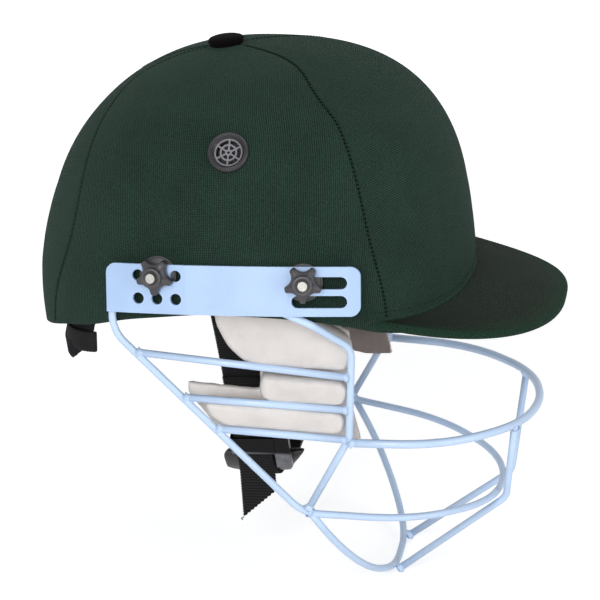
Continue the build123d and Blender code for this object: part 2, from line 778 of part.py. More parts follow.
def strap_rivet():
    heads = disc(STRAP_RIVET_HEAD, 0, 1, 12) + disc(STRAP_RIVET_HEAD, 7.05, 8.0, 12)
    shank = round_bar(STRAP_RIVET, 0, 8.0)
    return main_solid(rivet_turn() * (heads + shank))


# Nape cradle


NAPE_BAND = [(6, 0.93), (-30, 0.92), (-46, 0.95), (-58, 0.89)]
NAPE_SIDE = [(-59, 5.5), (-73, 5.5), (-90, -4), (-125, -10), (-125, -52), (-101, -52), (-84, -34), (-78, -14),
             (-70, -6.5), (-59, -5.5)]


def nape_shell(draw):
    rings = []
    for z, scale in reversed(NAPE_BAND):
        half_x = (SHELL_LENGTH / 2 - draw) * scale
        half_y = (SHELL_WIDTH / 2 - draw) * scale
        rings.append(ring(0, half_x, half_y, z, 24))
    return faceted(rings)


def nape_cradle():
    """Padded neck band on two arms that reach forward to its rivets."""
    band = (nape_shell(0) - nape_shell(NAPE_WALL)) & upright(NAPE_SIDE)
    px, pz = NAPE_PIVOT
    bore = Pos(px, 0, pz) * Cylinder(NAPE_RIVET + RUNNING_GAP, 240, rotation=(90, 0, 0))
    return main_solid(band - bore)


def nape_strap():
    """Narrow adjusting strap round the nape."""
    band = nape_shell(-1.6) - nape_shell(0)
    return main_solid(band & upright([(-125, -34), (-77, -23), (-71, -31), (-80, -35), (-125, -47)]))


def nape_rivet():
    px, pz = NAPE_PIVOT
    wall = side_y(px, pz, COVER_THICKNESS + SHELL_GAP + SHELL_WALL / 2)
    head = disc(NAPE_RIVET_HEAD, -NAPE_RIVET_INSIDE, 0.8 - NAPE_RIVET_INSIDE, 12)
    pin = round_bar(NAPE_RIVET, -wall, -NAPE_RIVET_INSIDE) + head
    return main_solid(Pos(px, 0, pz) * Rot(-90, 0, 0) * pin)


def assemble():
    outer_egg = dome(0)
    under_cover = dome(COVER_THICKNESS)
    shell_out = dome(COVER_THICKNESS + SHELL_GAP)
    inner_egg = dome(COVER_THICKNESS + SHELL_GAP + SHELL_WALL)
    rim = above_rim()
    grille = vent()
    studs = [stud_hole(p) for p in STUD_PLACES.values()]
    opening = side_frame(VENT_X, VENT_Z) * disc(VENT_RADIUS + 0.15, -8, 6, VENT_SIDES)
    rivet = nape_rivet()
    shell = (shell_out - inner_egg) & rim
    cover = (outer_egg - under_cover) & rim
    for hole in studs + [grille, rivet]:
        shell = shell - hole - left_of(hole)
    for hole in studs + [opening]:
        cover = cover - hole - left_of(hole)
    front, rear, right = cover_panels(cover)
    core, cloth = peak_pieces(outer_egg)
    pockets = [stud_frame(p) * disc(8.2, -17, -7, 12) for p in STUD_PLACES.values()]
    pockets.append(rivet_turn() * disc(5.0, -0.6, 9, 12))
    crown, brow, nape, ear = liner_pads(pockets)
    nodes = {
        "outer_shell": main_solid(shell),
        "cover_front_panel": front,
        "cover_rear_panel": rear,
        "cover_right_panel": right,
        "cover_left_panel": left_of(right),
        "crown_button": crown_button(outer_egg),
        "peak_core": core,
        "peak_cover": cloth,
        "crown_pad": crown,
        "brow_pad": brow,
        "rear_pad": nape,
        "right_ear_pad": ear,
        "left_ear_pad": left_of(ear),
        "side_vents": both(grille),
        "vent_retainers": both(vent_retainer(inner_egg)),
        "right_side_plate": side_plate(),
        "strap_hangers": both(strap_hanger()),
        "strap_rivets": both(strap_rivet()),
        "chin_strap": leaning(chin_strap()),
        "chin_cup": leaning(chin_cup()),
        "strap_slider": leaning(strap_slider()),
        "strap_tail": leaning(strap_tail()),
        "nape_cradle": nape_cradle(),
        "nape_strap": nape_strap(),
        "nape_rivets": both(rivet),
    }
    nodes["left_side_plate"] = left_of(nodes["right_side_plate"])
    places = STUD_PLACES.values()
    studs = [fixing_stud(p) for p in places]
    spacers = [spacer(p, outer_egg) for p in places]
    washers = [backing_washer(p, inner_egg) for p in places]
    nodes["fixing_studs"] = Compound(children=studs + [left_of(s) for s in studs])
    nodes["plate_spacers"] = Compound(children=spacers + [left_of(s) for s in spacers])
    nodes["stud_washers"] = Compound(children=washers + [left_of(w) for w in washers])
    for name, place in STUD_PLACES.items():
        nodes[f"right_{name}_knob"] = star_knob(place)
        nodes[f"right_{name}_knob_nut"] = knob_nut(place)
    nodes.update(face_guard(nodes["right_side_plate"]))
    nodes.update(cheek_pads())
    for name in [n for n in nodes if n.startswith("right_") and n.replace("right", "left", 1) not in nodes]:
        nodes[name.replace("right", "left", 1)] = left_of(nodes[name])
    return nodes


def main():
    os.makedirs("parts", exist_ok=True)
    for name, shape in assemble().items():
        export_step(shape, f"parts/{name}.step")


main()
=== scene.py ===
import math

import bpy
import bmesh
import numpy as np
from mathutils import Matrix, Vector


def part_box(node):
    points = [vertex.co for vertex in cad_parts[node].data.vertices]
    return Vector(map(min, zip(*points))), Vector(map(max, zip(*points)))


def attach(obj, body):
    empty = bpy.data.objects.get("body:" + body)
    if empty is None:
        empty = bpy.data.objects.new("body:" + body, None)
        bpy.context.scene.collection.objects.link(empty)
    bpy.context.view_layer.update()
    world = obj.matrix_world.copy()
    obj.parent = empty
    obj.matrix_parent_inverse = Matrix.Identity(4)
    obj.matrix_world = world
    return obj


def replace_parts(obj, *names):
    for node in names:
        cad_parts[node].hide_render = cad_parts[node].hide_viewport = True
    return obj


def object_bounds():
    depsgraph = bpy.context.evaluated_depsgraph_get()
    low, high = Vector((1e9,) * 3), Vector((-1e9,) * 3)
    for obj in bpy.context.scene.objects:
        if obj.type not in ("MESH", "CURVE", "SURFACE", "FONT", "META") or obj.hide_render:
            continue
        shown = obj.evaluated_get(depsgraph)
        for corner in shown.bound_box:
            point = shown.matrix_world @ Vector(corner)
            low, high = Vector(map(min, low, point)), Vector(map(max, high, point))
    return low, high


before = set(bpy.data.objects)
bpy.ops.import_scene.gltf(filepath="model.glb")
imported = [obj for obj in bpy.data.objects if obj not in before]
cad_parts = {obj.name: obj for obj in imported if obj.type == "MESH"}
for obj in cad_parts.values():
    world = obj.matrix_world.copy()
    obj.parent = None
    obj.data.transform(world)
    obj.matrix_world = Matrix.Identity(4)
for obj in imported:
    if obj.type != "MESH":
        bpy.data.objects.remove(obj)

# Looks of a cricket helmet. Shapes are in millimetres and become metres in to_metres().
# Lamps, floor and materials are in metres.
# X points forward, Y to the wearer's left, Z up.

MM = 0.001
# Sides of the helmet, and what turns a right-hand Y into that side's
SIDES = (("right", 1), ("left", -1))
cad_low, cad_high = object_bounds()

# Camera
LENS_MM = 145.0
SENSOR_MM = 36.0
CAMERA_TURN = 9.57
CAMERA_RISE = 20.0
CAMERA_DISTANCE = 1381.0
CAMERA_TARGET = (22.0, 0.0, -26.0)
WORLD_FILL = 0.27
FLOOR_LIFT = 0.56
FLOOR_FAR_LIFT = 1.0
FLOOR_NEAR = 0.55
FLOOR_FAR = 1.6
FLOOR_HALF = 4.0
FLOOR_GAP = 0.0006

# Lamps by name: place, what it points at, size and watts
LAMPS = {
    "key": ((-0.15, -1.7, 0.68), (0.02, 0, 0), 1.1, 20.0),
    "top": ((0.8, 0.5, 1.45), (0.02, 0, 0), 1.1, 5.0),
    "front": ((1.5, -0.9, 0.35), (0.05, 0, -0.03), 0.9, 7.0),
    "back": ((-1.5, 0.3, 0.6), (-0.05, 0, 0), 0.9, 0.6),
}

# Shell and cover
SHELL_LENGTH = 236.5
SHELL_WIDTH = 208.0
CROWN_RISE = 120.0
WIDEST_Z = 4.5
CROWN_SHIFT = 10.0
ROUNDNESS = 2.4
LOWER_DRAW = 0.35
COVER_THICKNESS = 1.1
SEAM_JOINT = (-17.0, 0.0, 10.0)
FRONT_SEAM_Z = (-16.0, 9.0, 45.0, 97.0, 116.0, 123.5)
FRONT_SEAM_TURN = (39.2, 40.6, 43.6, 43.3, 42.0, 36.0)
REAR_SEAM_Z = (-24.0, -10.0, 40.0, 73.0, 88.0, 97.0, 105.0, 119.0)
REAR_SEAM_TURN = (142.5, 141.0, 134.8, 139.3, 145.5, 152.0, 164.0, 172.0)
RIM_X = (-140.0, -118.0, -104.0, -92.0, -79.0, -58.0, -36.0, -14.0, 8.0, 30.0, 46.0, 62.0, 80.0, 100.0, 140.0)
RIM_Z = (-44.0, -35.0, -25.0, -18.5, -14.6, -7.5, -2.6, 0.8, 1.4, 0.6, -1.2, -4.5, -10.0, -14.0, -17.0)

# Peak
PEAK_TIP = (174.9, -11.7)
PEAK_SLOPE = 11.6
PEAK_ARCH = 340.0
PEAK_CENTRE_X = 44.3
PEAK_HALF_WIDTH = 88.8
PEAK_ROUNDNESS = 2.59
PEAK_DEPTH = 5.0
PEAK_INSET = 0.9
PEAK_COLUMNS = 150
PEAK_TOP_ROWS = 34
PEAK_EDGE_ROWS = 9
PEAK_UNDER_ROWS = 22
# Rows of the top over which its colour turns to the edge's
PEAK_BLEND_ROWS = 8

# Side plate and its studs
PLATE_CENTRE = (3.0, -108.3, 16.6)
PLATE_LEAN = 10.0
PLATE_PITCH = 2.2
PLATE_RADIUS = 380.0
STUDS = {"rear": (-40.0, -40.0, 7.2), "front": (46.0, 38.7, 4.6)}

# Guard wires
WIRE = 4.1
LOOP_WIRE = 4.7
WELD_DEPTH = 3.9
WELD_SIDES = 24

# Harness
STRAP_X = -7.0
STRAP_PIVOT_Z = 14.0
STRAP_PLANE = 81.4
STRAP_BEND = (69.6, -6.5)
STRAP_LEAN = 3.8
STRAP_WIDTH = 20.0
STRAP_THICKNESS = 1.5
CUP_RADIUS = 30.0
CUP_CENTRE_Z = -101.0
RIB_PITCH = 1.75
RIB_HEIGHT = 0.3
RIB_EDGE = (0.25, 0.4)
NAPE_OUTSET = 0.8
NAPE_SCALE = 0.92
SLIDER_TIP_Z = -0.1076


def linear(red, green, blue):
    """Linear colour of an 8-bit screen colour."""
    out = []
    for c in (red / 255, green / 255, blue / 255):
        out.append(c / 12.92 if c < 0.04045 else ((c + 0.055) / 1.055) ** 2.4)
    return (*out, 1.0)


# Camera, light and floor


def put(thing, **settings):
    """Set a thing's own properties and hand it back."""
    for name, value in settings.items():
        setattr(thing, name, value)
    return thing


def set_inputs(node, values):
    for name, value in values.items():
        node.inputs[name].default_value = value
    return node


def add_node(nodes, kind, values=None, **settings):
    """Shader node with its settings and the values of its inputs."""
    return set_inputs(put(nodes.new("ShaderNode" + kind), **settings), values or {})


def add_object(name, data):
    thing = bpy.data.objects.new(name, data)
    bpy.context.scene.collection.objects.link(thing)
    return thing


def mesh_object(name, points, faces):
    """Object with a new mesh. Points are in metres."""
    mesh = bpy.data.meshes.new(name)
    mesh.from_pydata(points, [], faces)
    return add_object(name, mesh)


def aim(thing, place, way):
    """Place a camera or lamp so that it looks along a direction."""
    put(thing, location=place, rotation_mode="QUATERNION", rotation_quaternion=way.to_track_quat("-Z", "Y"))


def make_camera():
    data = put(bpy.data.cameras.new("camera"), lens=LENS_MM, sensor_width=SENSOR_MM,
               clip_start=0.05, clip_end=20.0)
    camera = add_object("camera", data)
    turn, rise = math.radians(CAMERA_TURN), math.radians(CAMERA_RISE)
    back = Vector((math.sin(turn) * math.cos(rise), -math.cos(turn) * math.cos(rise), math.sin(rise)))
    aim(camera, (Vector(CAMERA_TARGET) + back * CAMERA_DISTANCE) * MM, -back)
    bpy.context.scene.camera = camera


def area_light(name, place, target, size, power):
    data = put(bpy.data.lights.new(name, "AREA"), shape="DISK", size=size, energy=power)
    aim(add_object(name, data), place, Vector(target) - Vector(place))


def seen_directly(nodes, links):
    """1 for what the camera sees, straight or in a reflection, and 0 for the light on other things."""
    path = add_node(nodes, "LightPath")
    total = path.outputs["Is Camera Ray"]
    for ray in ("Is Glossy Ray", "Is Transmission Ray"):
        most = add_node(nodes, "Math", operation="MAXIMUM")
        links.new(total, most.inputs[0])
        links.new(path.outputs[ray], most.inputs[1])
        total = most.outputs[0]
    return total


def make_world():
    """White behind the object for the camera, softer light for everything else."""
    world = put(bpy.data.worlds.new("studio"), use_nodes=True)
    bpy.context.scene.world = world
    nodes, links = world.node_tree.nodes, world.node_tree.links
    nodes.clear()
    out = add_node(nodes, "OutputWorld")
    mix = add_node(nodes, "MixShader")
    seen = add_node(nodes, "Background", {"Color": (1, 1, 1, 1), "Strength": 1.0})
    fill = add_node(nodes, "Background", {"Color": (0.95, 0.97, 1.0, 1), "Strength": WORLD_FILL})
    links.new(seen_directly(nodes, links), mix.inputs["Fac"])
    links.new(fill.outputs[0], mix.inputs[1])
    links.new(seen.outputs[0], mix.inputs[2])
    links.new(mix.outputs[0], out.inputs["Surface"])


def make_stage():
    """Lamps, and a pale floor that whitens away from the object and keeps its shadow."""
    for name, lamp in LAMPS.items():
        area_light(name, *lamp)
    low = cad_low.z - FLOOR_GAP
    corners = [(x * FLOOR_HALF, y * FLOOR_HALF, low) for x, y in ((-1, -1), (1, -1), (1, 1), (-1, 1))]
    floor = mesh_object("floor", corners, [(0, 1, 2, 3)])
    mat = put(bpy.data.materials.new("pale_floor"), use_nodes=True)
    nodes, links = mat.node_tree.nodes, mat.node_tree.links
    shader = set_inputs(nodes["Principled BSDF"], {"Base Color": (0.93, 0.93, 0.93, 1), "Roughness": 0.9,
                                                   "Specular IOR Level": 0.1, "Emission Color": (1, 1, 1, 1)})
    place = add_node(nodes, "TexCoord")
    distance = add_node(nodes, "VectorMath", operation="LENGTH")
    fade = add_node(nodes, "MapRange", {"From Min": FLOOR_NEAR, "From Max": FLOOR_FAR,
                                        "To Min": FLOOR_LIFT, "To Max": FLOOR_FAR_LIFT})
    lift = add_node(nodes, "Math", operation="MULTIPLY")
    links.new(place.outputs["Object"], distance.inputs[0])
    links.new(distance.outputs["Value"], fade.inputs["Value"])
    links.new(seen_directly(nodes, links), lift.inputs[0])
    links.new(fade.outputs["Result"], lift.inputs[1])
    links.new(lift.outputs[0], shader.inputs["Emission Strength"])
    floor.data.materials.append(mat)


# Materials


# A wave texture's scale times its pitch
WAVE_TURN = 0.31416
KNIT_STOPS = ((0.25, 0.32), (0.5, 1.0), (0.75, 2.0))


class Paint:
    """A node material with short calls for the pieces that every finish here is made of."""

    def __init__(self, name, colour, roughness, metallic=0.0):
        self.mat = put(bpy.data.materials.new(name), use_nodes=True)
        self.nodes, self.links = self.mat.node_tree.nodes, self.mat.node_tree.links
        self.shader = self.nodes["Principled BSDF"]
        self.set({"Base Color": colour, "Roughness": roughness, "Metallic": metallic})
        self.place = self.add("TexCoord")
        self.height = None

    def set(self, values):
        set_inputs(self.shader, values)

    def add(self, kind, values=None, feeds=None, **settings):
        """Node with its values, the sockets that feed it, and its settings."""
        node = add_node(self.nodes, kind, values, **settings)
        for name, socket in (feeds or {}).items():
            self.links.new(socket, node.inputs[name])
        return node

    def noise(self, size, detail=3.0, rough=0.55):
        """Noise whose features are about size metres across."""
        values = {"Scale": 1 / size, "Detail": detail, "Roughness": rough}
        return self.add("TexNoise", values, {"Vector": self.place.outputs["Object"]}).outputs["Fac"]

    def cells(self, size):
        """Distance to the middle of the nearest of cells about size metres across."""
        feeds = {"Vector": self.place.outputs["Object"]}
        return self.add("TexVoronoi", {"Scale": 1 / size}, feeds).outputs["Distance"]

    def ribs(self, pitch, direction, wobble=0.0, uv=True):
        """Bands of that pitch across a direction of the UV map or of the piece's place."""
        values = {"Scale": WAVE_TURN / pitch, "Distortion": wobble, "Detail": 1.0}
        feeds = {"Vector": self.place.outputs["UV" if uv else "Object"]}
        return self.add("TexWave", values, feeds, wave_type="BANDS", bands_direction=direction).outputs["Fac"]

    def maths(self, operation, a, b):
        node = self.add("Math", operation=operation)
        for k, value in enumerate((a, b)):
            if hasattr(value, "is_linked"):
                self.links.new(value, node.inputs[k])
            else:
                node.inputs[k].default_value = value
        return node.outputs[0]

    def weighted(self, *parts):
        """Sum of sockets, each times its weight."""
        total = None
        for socket, weight in parts:
            part = self.maths("MULTIPLY", socket, weight)
            total = part if total is None else self.maths("ADD", total, part)
        return total

    def blend(self, fac, colour, *stops):
        """Shades of a colour over a value. Stops are pairs of value and brightness."""
        node = self.add("ValToRGB", feeds={"Fac": fac})
        elements = node.color_ramp.elements
        for element, (at, factor) in zip((elements[0], elements[1]), (stops[0], stops[-1])):
            put(element, position=at, color=shade(colour, factor))
        for at, factor in stops[1:-1]:
            elements.new(at).color = shade(colour, factor)
        return node.outputs["Color"]

    def attribute(self, name):
        return self.add("Attribute", attribute_name=name).outputs["Fac"]

    def mixed(self, fac, a, b):
        return self.add("Mix", feeds={0: fac, 6: a, 7: b}, data_type="RGBA").outputs[2]

    def height_in_piece(self, low, high):
        """0 under a height of the frame, in metres, and 1 over another."""
        split = self.add("SeparateXYZ", feeds={0: self.place.outputs["Object"]})
        span = self.add("MapRange", {"From Min": low, "From Max": high}, {"Value": split.outputs["Z"]})
        return span.outputs["Result"]

    def colour(self, socket):
        self.links.new(socket, self.shader.inputs["Base Color"])

    def roughness(self, socket, low, high):
        span = self.add("MapRange", {"To Min": low, "To Max": high}, {"Value": socket})
        self.links.new(span.outputs["Result"], self.shader.inputs["Roughness"])

    def bump(self, socket, distance, strength=1.0):
        """Adds a bump layer over those already there. Distance is in metres."""
        node = self.add("Bump", {"Strength": strength, "Distance": distance}, {"Height": socket})
        if self.height is not None:
            self.links.new(self.height, node.inputs["Normal"])
        self.height = node.outputs["Normal"]
        self.links.new(self.height, self.shader.inputs["Normal"])


def shade(colour, factor):
    """Colour made lighter or darker, still opaque."""
    return tuple(min(1.0, c * factor) for c in colour[:3]) + (1.0,)


def knit(name, colour, rib=0.00115, row=0.0009, edge=None):
    """Fine ribbed knit. The UV map is in metres. Where edge is given, the mesh's edge values blend to it."""
    paint = Paint(name, colour, 0.8)
    weave = paint.weighted((paint.ribs(rib, "X", 0.25), 0.6), (paint.ribs(row, "Y", 0.4), 0.4))
    patch = paint.noise(0.028, 2.0)
    fibre = paint.noise(0.0011)
    tone = paint.weighted((weave, 0.45), (fibre, 0.35), (patch, 0.2))
    base = paint.blend(tone, colour, *KNIT_STOPS)
    if edge is not None:
        base = paint.mixed(paint.attribute("edge"), base, paint.blend(tone, edge, *KNIT_STOPS))
    paint.colour(base)
    paint.roughness(patch, 0.72, 0.88)
    paint.bump(weave, 0.0005)
    paint.bump(fibre, 0.00015, 0.8)
    paint.set({"Sheen Weight": 0.07, "Sheen Roughness": 0.45, "Sheen Tint": (0.5, 0.75, 0.62, 1),
               "Specular IOR Level": 0.06})
    return paint.mat


def powder_coat(name, colour):
    """Pale blue coat on steel: a faint orange-peel skin, a little dust and handling wear."""
    paint = Paint(name, colour, 0.34)
    paint.colour(paint.blend(paint.noise(0.02), colour, (0.25, 0.93), (0.6, 1), (0.9, 1.04)))
    paint.roughness(paint.noise(0.0006, 4.0, 0.7), 0.26, 0.46)
    paint.bump(paint.noise(0.0012, 2.0), 0.00005, 0.5)
    paint.set({"Coat Weight": 0.25, "Coat Roughness": 0.2})
    return paint.mat


def moulded(name, colour, grain=0.0004, rough=0.42, depth=0.00005, shine=0.5):
    """Moulded plastic with a fine spark-eroded grain and a cloudy tone."""
    paint = Paint(name, colour, rough)
    cloud = paint.noise(0.012)
    paint.colour(paint.blend(cloud, colour, (0.3, 0.82), (0.7, 1.2)))
    paint.roughness(cloud, rough - 0.08, rough + 0.12)
    paint.bump(paint.noise(grain), depth, 0.7)
    paint.set({"Specular IOR Level": shine})
    return paint.mat


def zinc(name, colour):
    """Machined zinc plate with fine turning marks."""
    paint = Paint(name, colour, 0.26, 0.95)
    marks = paint.noise(0.0005, 4.0, 0.7)
    paint.colour(paint.blend(paint.noise(0.004, 2.0), colour, (0.3, 0.8), (0.7, 1)))
    paint.roughness(marks, 0.18, 0.42)
    paint.bump(marks, 0.00003, 0.5)
    return paint.mat


def hide(name, colour, grain=0.0009, depth=0.00012, rough=0.52):
    """Leather or coated cloth: pebbled grain, soft creases and handling tone."""
    paint = Paint(name, colour, rough)
    crease = paint.noise(0.011, 4.0, 0.6)
    tone = paint.weighted((paint.noise(0.03), 0.6), (crease, 0.4))
    paint.colour(paint.blend(tone, colour, (0.3, 0.86), (0.55, 1), (0.85, 1.07)))
    paint.roughness(crease, rough - 0.08, rough + 0.12)
    paint.bump(crease, 0.0006, 0.35)
    paint.bump(paint.cells(grain), depth, 0.55)
    return paint.mat


def plain_cloth(name, colour, thread=0.0007):
    """Woven lining: crossed threads read straight from the piece's place, with fluff."""
    paint = Paint(name, colour, 0.88)
    cross = paint.maths("MULTIPLY", paint.ribs(thread, "X", 0.3, False), paint.ribs(thread, "Z", 0.3, False))
    tone = paint.weighted((cross, 0.5), (paint.noise(0.02, 2.0), 0.5))
    paint.colour(paint.blend(tone, colour, (0.2, 0.6), (0.8, 1.45)))
    paint.bump(cross, 0.0002, 0.7)
    paint.bump(paint.noise(0.0012, 4.0, 0.7), 0.00015, 0.5)
    paint.set({"Sheen Weight": 0.01, "Specular IOR Level": 0.03})
    return paint.mat


def webbing(name, colour):
    """Ribbed webbing: the ribs are modelled, their crests carry a painted highlight and their grooves painted
    shade, and the yarn across them is bump.
    """
    paint = Paint(name, colour, 0.62)
    yarn = paint.ribs(0.0011, "X", 0.2)
    fluff = paint.noise(0.0008)
    # Painted highlight on each rib's crest and painted shade in its groove, in step with the modelled ribs.
    rib_crest_highlight = paint.maths("SUBTRACT", 1.0, paint.ribs(RIB_PITCH * MM, "Y"))
    tone = paint.weighted((rib_crest_highlight, 0.55), (yarn, 0.2), (fluff, 0.25))
    paint.colour(paint.blend(tone, colour, (0.2, 0.4), (0.85, 3.0)))
    paint.bump(yarn, 0.00018, 0.8)
    paint.bump(fluff, 0.0001, 0.5)
    paint.set({"Sheen Weight": 0.01, "Specular IOR Level": 0.12})
    return paint.mat


def slider_nylon(name, colour, tip, tip_height):
    """Glossy moulded keeper whose lowest end is a paler grey."""
    paint = Paint(name, colour, 0.3)
    cloud = paint.noise(0.006)
    over_tip = paint.height_in_piece(tip_height - 0.001, tip_height + 0.001)
    paint.colour(paint.mixed(over_tip, paint.blend(cloud, tip, (0.3, 0.7), (0.7, 1.2)),
                             paint.blend(cloud, colour, (0.3, 0.8), (0.7, 1.3))))
    paint.roughness(cloud, 0.22, 0.42)
    paint.bump(paint.noise(0.0005), 0.00006, 0.6)
    paint.set({"Specular IOR Level": 0.12})
    return paint.mat


def make_materials():
    """Every finish by name. Most names are also the name of a slot."""
    cover = linear(36, 54, 46)
    return {
        "cover_cloth": knit("cover_knit", cover),
        "peak_cloth": knit("peak_knit", linear(31, 36, 30), 0.0013, 0.0011, linear(30, 52, 40)),
        "button_cloth": plain_cloth("button_felt", linear(14, 12, 13), 0.0009),
        # Front seam stitches are real thread, but their near-black colour is painted shade of the needle
        # holes.
        "seam_thread_hole_shade": plain_cloth("dark_thread_hole_shade", linear(14, 22, 18), 0.0005),
        "rear_thread": plain_cloth("tonal_thread", cover, 0.0005),
        "guard_steel": powder_coat("pale_blue_coat", linear(197, 220, 249)),
        # The plates wear the guard's pale blue coat; this darker copy is painted shade on their flat faces.
        "plate_steel_painted_shade": powder_coat("plate_blue_coat_painted_shade", linear(174, 201, 238)),
        "knob_plastic": moulded("dark_nylon", linear(56, 54, 57), 0.0005, 0.36, 0.00008),
        "vent_plastic": moulded("grey_nylon", linear(47, 46, 49), 0.0004, 0.34, shine=0.3),
        "vent_wheel": moulded("light_grey_nylon", linear(122, 120, 126), 0.0004, 0.45),
        "stud_steel": zinc("zinc_plate", linear(176, 175, 170)),
        "rubber_black": moulded("grey_rubber", linear(58, 57, 60), 0.0006, 0.42, 0.00006),
        "pad_leather": hide("off_white_hide", linear(217, 211, 207)),
        # Darker taupe for the cheek boards' inward faces: painted shade.
        "pad_backing": plain_cloth("taupe_inner_face_shade", linear(176, 162, 157)),
        "liner_foam": plain_cloth("dark_lining", linear(40, 40, 43), 0.0012),
        "webbing": webbing("black_webbing", linear(20, 20, 21)),
        "cup_leather": hide("dark_brown_hide", linear(27, 24, 24), 0.0007, 0.00014, 0.4),
        "slider_plastic": slider_nylon("black_keeper", linear(10, 10, 11), linear(120, 120, 126),
                                       SLIDER_TIP_Z),
        "shell_plastic": moulded("dark_shell", linear(40, 46, 43), 0.0014, 0.5, 0.0001),
    }


# Mesh helpers


def to_metres(points):
    """Points in metres from points in millimetres."""
    return [tuple(float(c) * MM for c in p) for p in points]


def settle(piece, material, body):
    """A piece's finish, and the body that it rides on."""
    piece.data.materials.append(material)
    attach(piece, body)
    return piece


def new_piece(name, points, faces, material, body="helmet", smooth=True, uvs=None):
    """Mesh piece from points in millimetres. uvs are one pair per point, in metres."""
    piece = mesh_object(name, to_metres(points), [tuple(int(i) for i in f) for f in faces])
    mesh = piece.data
    mesh.validate()
    if smooth:
        mesh.polygons.foreach_set("use_smooth", [True] * len(mesh.polygons))
    if uvs is not None:
        layer = mesh.uv_layers.new(name="weave")
        for loop in mesh.loops:
            layer.data[loop.index].uv = uvs[loop.vertex_index]
    return settle(piece, material, body)


def grid_faces(rows, columns, wrap=False):
    """Quads over a grid of points stored row by row."""
    faces = []
    for r in range(rows - 1):
        for c in range(columns if wrap else columns - 1):
            d = (c + 1) % columns
            faces.append((r * columns + c, r * columns + d, (r + 1) * columns + d, (r + 1) * columns + c))
    return faces


def flip(points):
    """Left twins of right-hand points."""
    return [(x, -y, z) for x, y, z in points]


def smooth_curve(xs, ys, x):
    """Smooth line through points, read at x."""
    xs, ys, x = np.asarray(xs, float), np.asarray(ys, float), np.asarray(x, float)
    slope = np.gradient(ys, xs)
    k = np.clip(np.searchsorted(xs, x) - 1, 0, len(xs) - 2)
    h = xs[k + 1] - xs[k]
    t = np.clip((x - xs[k]) / h, 0, 1)
    a = 2 * t**3 - 3 * t**2 + 1
    b = t**3 - 2 * t**2 + t
    c = -2 * t**3 + 3 * t**2
    d = t**3 - t**2
    return a * ys[k] + b * h * slope[k] + c * ys[k + 1] + d * h * slope[k + 1]


def lengths_along(points, axis=0):
    """Length run so far at each point of a line or of a grid's lines."""
    steps = np.linalg.norm(np.diff(points, axis=axis), axis=-1)
    start = np.zeros_like(np.take(steps, [0], axis))
    return np.concatenate([start, np.cumsum(steps, axis=axis)], axis=axis)


def read_line(line, run, at):
    """Points of a line at lengths along it."""
    return np.stack([np.interp(at, run, line[:, k]) for k in range(line.shape[1])], -1)


def halved(low, high, passes, still_low):
    """Value at which a test turns false, found between two bounds by halving."""
    for _ in range(passes):
        middle = (low + high) / 2
        keep = still_low(middle)
        low, high = np.where(keep, middle, low), np.where(keep, high, middle)
    return low


def bevel(node, width):
    """Eased edges on a CAD node, whose own mesh stays as it is."""
    put(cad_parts[node].modifiers.new("eased_edges", "BEVEL"), width=width * MM, segments=2,
        limit_method="ANGLE", angle_limit=math.radians(40), harden_normals=False)


def dress(node, material):
    """Finish on a CAD node that stays in view."""
    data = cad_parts[node].data
    data.materials.clear()
    data.materials.append(material)


# Egg of the shell


RAY_REACH = 260.0


def egg(points, inset):
    """Below 0 inside the egg and above 0 outside it."""
    x, y, z = points[..., 0], points[..., 1], points[..., 2]
    level = (z - WIDEST_Z) / (CROWN_RISE - inset)
    upper = np.clip(1 - np.clip(level, 0, 1) ** ROUNDNESS, 1e-9, None) ** (1 / ROUNDNESS)
    scale = np.where(level > 0, upper, 1 - LOWER_DRAW * level * level)
    middle = CROWN_SHIFT * np.clip(level, 0, None) ** 2
    along = np.abs(x - middle) / ((SHELL_LENGTH / 2 - inset) * scale)
    across = np.abs(y) / ((SHELL_WIDTH / 2 - inset) * scale)
    value = along**ROUNDNESS + across**ROUNDNESS - 1
    return np.where(level >= 1, 1.0, value)


def cast(origin, directions, inset=0.0):
    """Where rays from inside the egg leave it."""
    shape = directions.shape[:-1]
    low = halved(np.zeros(shape), np.full(shape, RAY_REACH), 44,
                 lambda middle: egg(origin + directions * middle[..., None], inset) < 0)
    return origin + directions * low[..., None]


def rays(turn, fall):
    """Directions by turn about the vertical and angle down from straight up, in radians."""
    return np.stack([np.sin(fall) * np.cos(turn), np.sin(fall) * np.sin(turn), np.cos(fall)], -1)


def fall_to_rim(turn):
    """How far round from the top each turn reaches the rim line."""
    def above(fall):
        point = cast(np.array(SEAM_JOINT), rays(turn, fall))
        return point[..., 2] > smooth_curve(RIM_X, RIM_Z, point[..., 0])

    return halved(np.full(turn.shape, 0.8), np.full(turn.shape, 2.3), 34, above)


def seam_turns(heights, turns, shares):
    """Turn of a seam at each share of the way down."""
    origin = np.array(SEAM_JOINT)
    turn = np.radians(np.full(shares.shape, turns[len(turns) // 2]))
    for _ in range(6):
        point = cast(origin, rays(turn, shares * fall_to_rim(turn)))
        turn = np.radians(smooth_curve(heights, turns, np.clip(point[..., 2], heights[0], heights[-1])))
    return turn


# Cover


EDGE_SHARES = (0.0, 0.0035, 0.008, 0.014, 0.022, 0.034)
SEAM_SINK = 0.55
PANEL_ROWS = 84
FRONT_COLUMNS = 76
REAR_COLUMNS = 60
SIDE_COLUMNS = 84
FLARE_START = 50.0
FLARE_REACH = 55.0
NAPE_FLARE = ((-35.0, 7.5), (3.0, 4.8), (30.0, 1.4), (46.0, 0.0))
BROW_FLARE = ((-20.0, 3.2), (6.0, 3.0), (28.0, 1.0), (46.0, 0.0))
VENT_PLACE = (-1.8, 85.3)
VENT_CLEAR = 9.4
